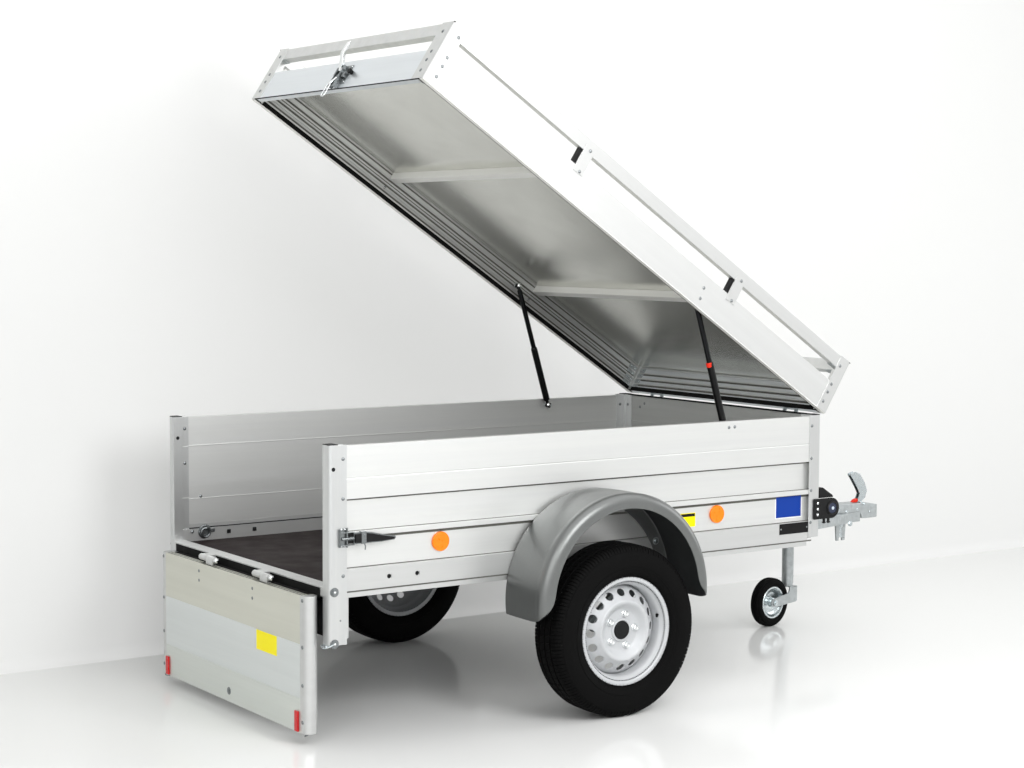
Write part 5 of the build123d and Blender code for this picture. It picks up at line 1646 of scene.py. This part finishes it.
def lit_paint(name, colour, rough, share):
    """Studio paint, part of which shows the camera a plain white, so that shadows on it stay light."""
    material = studio_paint(name, colour, rough)
    tree = material.node_tree
    paint = tree.nodes["Principled BSDF"]
    glow = add_node(tree, "ShaderNodeEmission", inputs={"Color": PAPER_WHITE, "Strength": 1.0})
    rays = add_node(tree, "ShaderNodeLightPath")
    part = maths(tree, "MULTIPLY", rays.outputs["Is Camera Ray"], share)
    both = add_node(tree, "ShaderNodeMixShader", inputs={0: part, 1: paint.outputs[0], 2: glow.outputs[0]})
    tree.links.new(both.outputs[0], tree.nodes["Material Output"].inputs["Surface"])
    return material


def area_light(name, place, size, power):
    """Large soft light that looks at the trailer's middle."""
    data = bpy.data.lights.new(name, "AREA")
    data.shape = "RECTANGLE"
    data.size, data.size_y = size
    data.energy = power
    lamp = bpy.data.objects.new(name, data)
    lamp.location = place
    lamp.rotation_euler = (Vector((0, 0, 0.6)) - Vector(place)).to_track_quat("-Z", "Y").to_euler()
    bpy.context.scene.collection.objects.link(lamp)
    return lamp


class TRAILER_OT_studio(bpy.types.Operator):
    """Floor, wall, surround, soft lights and the camera"""
    bl_idname = "trailer.studio"
    bl_label = "Studio"

    def execute(self, context):
        sizes = context.scene.trailer.studio
        self.cove(context.scene, sizes)
        area_light("ceiling", (0.4, -1.6, 4.6), (7.0, 5.0), sizes.key)
        area_light("camera_side", (-4.6, -5.2, 3.2), (6.0, 4.0), sizes.fill)
        area_light("softbox", (-0.35, -3.5, 2.3), (1.7, 1.6), sizes.softbox)
        area_light("front_side", (5.5, -2.5, 2.2), (3.0, 2.6), sizes.front)
        self.surround(context.scene, sizes.world)
        context.scene.view_settings.view_transform = "Standard"
        self.camera(context.scene)
        return {"FINISHED"}

    def cove(self, scene, sizes):
        """Lacquered floor that turns up into a matt wall over a small round."""
        bend = sizes.wall_y - COVE_ROUND
        rows = [(COVE_NEAR, 0.0), (bend, 0.0)]
        for angle in [a * math.pi / 12 for a in range(1, 7)]:
            rows.append((bend + COVE_ROUND * math.sin(angle), COVE_ROUND - COVE_ROUND * math.cos(angle)))
        rows.append((sizes.wall_y, COVE_TOP))
        bm = bmesh.new()
        lines = [[bm.verts.new((x, y, z)) for y, z in rows] for x in COVE_SIDES]
        for k in range(len(rows) - 1):
            bm.faces.new((lines[0][k], lines[1][k], lines[1][k + 1], lines[0][k + 1]))
        mesh = bpy.data.meshes.new("studio_cove")
        bm.to_mesh(mesh)
        bm.free()
        mesh.materials.append(studio_paint("white studio lacquer", tuple(sizes.floor), 0.13))
        mesh.materials.append(lit_paint("white studio paint", tuple(sizes.floor), 0.7, 0.22))
        for face in mesh.polygons:
            face.material_index = 1 if face.center.z > 0.001 else 0
        mesh.shade_smooth()
        cove = bpy.data.objects.new("studio_cove", mesh)
        scene.collection.objects.link(cove)

    def surround(self, scene, strength):
        """White world that is bright to the camera and in reflections, and a dim fill to the rest."""
        world = bpy.data.worlds.new("studio surround")
        scene.world = world
        world.use_nodes = True
        tree = world.node_tree
        tree.nodes.clear()
        rays = add_node(tree, "ShaderNodeLightPath").outputs
        seen = maths(tree, "ADD", rays["Is Camera Ray"], rays["Is Glossy Ray"])
        seen = maths(tree, "ADD", seen, rays["Is Transmission Ray"], use_clamp=True)
        level = add_node(
            tree, "ShaderNodeMapRange", inputs={"Value": seen, "To Min": strength, "To Max": 1.0}).outputs[0]
        glow = add_node(tree, "ShaderNodeBackground", inputs={"Color": (1, 1, 1, 1), "Strength": level})
        add_node(tree, "ShaderNodeOutputWorld", inputs={"Surface": glow.outputs[0]})

    def camera(self, scene):
        """Camera where the photo's stood, from its yaw, pitch and slight roll."""
        data = bpy.data.cameras.new("camera")
        data.lens = CAMERA_LENS
        data.sensor_width = 36.0
        data.clip_end = 100.0
        camera = bpy.data.objects.new("camera", data)
        level = math.cos(CAMERA_PITCH)
        ahead = Vector((math.sin(CAMERA_YAW) * level, math.cos(CAMERA_YAW) * level, -math.sin(CAMERA_PITCH)))
        right = Vector((math.cos(CAMERA_YAW), -math.sin(CAMERA_YAW), 0))
        axes = Matrix((right, -ahead.cross(right), -ahead)).transposed().to_4x4()
        roll = Matrix.Rotation(-CAMERA_ROLL, 4, "Z")
        camera.matrix_world = Matrix.Translation(CAMERA_PLACE) @ axes @ roll
        scene.collection.objects.link(camera)
        scene.camera = camera


# ---------------------------------------------------------------- panel and registration
STEPS = (
    TRAILER_OT_box, TRAILER_OT_box_fasteners, TRAILER_OT_undercarriage, TRAILER_OT_road_wheels,
    TRAILER_OT_mudguards, TRAILER_OT_lamps, TRAILER_OT_latches, TRAILER_OT_coupling, TRAILER_OT_jockey,
    TRAILER_OT_tailgate, TRAILER_OT_lid, TRAILER_OT_lid_fasteners, TRAILER_OT_lid_latch, TRAILER_OT_struts,
    TRAILER_OT_labels, TRAILER_OT_studio,
)


class TRAILER_PT_panel(bpy.types.Panel):
    """Lists the trailer's pieces and sizes"""
    bl_idname = "TRAILER_PT_panel"
    bl_label = "Lidded trailer"
    bl_space_type = "VIEW_3D"
    bl_region_type = "UI"
    bl_category = "Trailer"

    def draw(self, context):
        sizes = context.scene.trailer
        for step in STEPS:
            self.layout.operator(step.bl_idname)
        for group in (sizes.box, sizes.wheel, sizes.guard, sizes.lid, sizes.studio):
            column = self.layout.box().column()
            for name in group.bl_rna.properties.keys():
                if name not in ("rna_type", "name"):
                    column.prop(group, name)


CLASSES = (BoxSizes, WheelSizes, GuardSizes, LidSizes, StudioSizes, TrailerSizes, *STEPS, TRAILER_PT_panel)


def register():
    for item in CLASSES:
        bpy.utils.register_class(item)
    bpy.types.Scene.trailer = PointerProperty(type=TrailerSizes)


def unregister():
    del bpy.types.Scene.trailer
    for item in reversed(CLASSES):
        bpy.utils.unregister_class(item)


def main():
    register()
    for step in STEPS:
        group, name = step.bl_idname.split(".")
        getattr(getattr(bpy.ops, group), name)()
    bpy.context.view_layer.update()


if __name__ == "__main__":
    main()
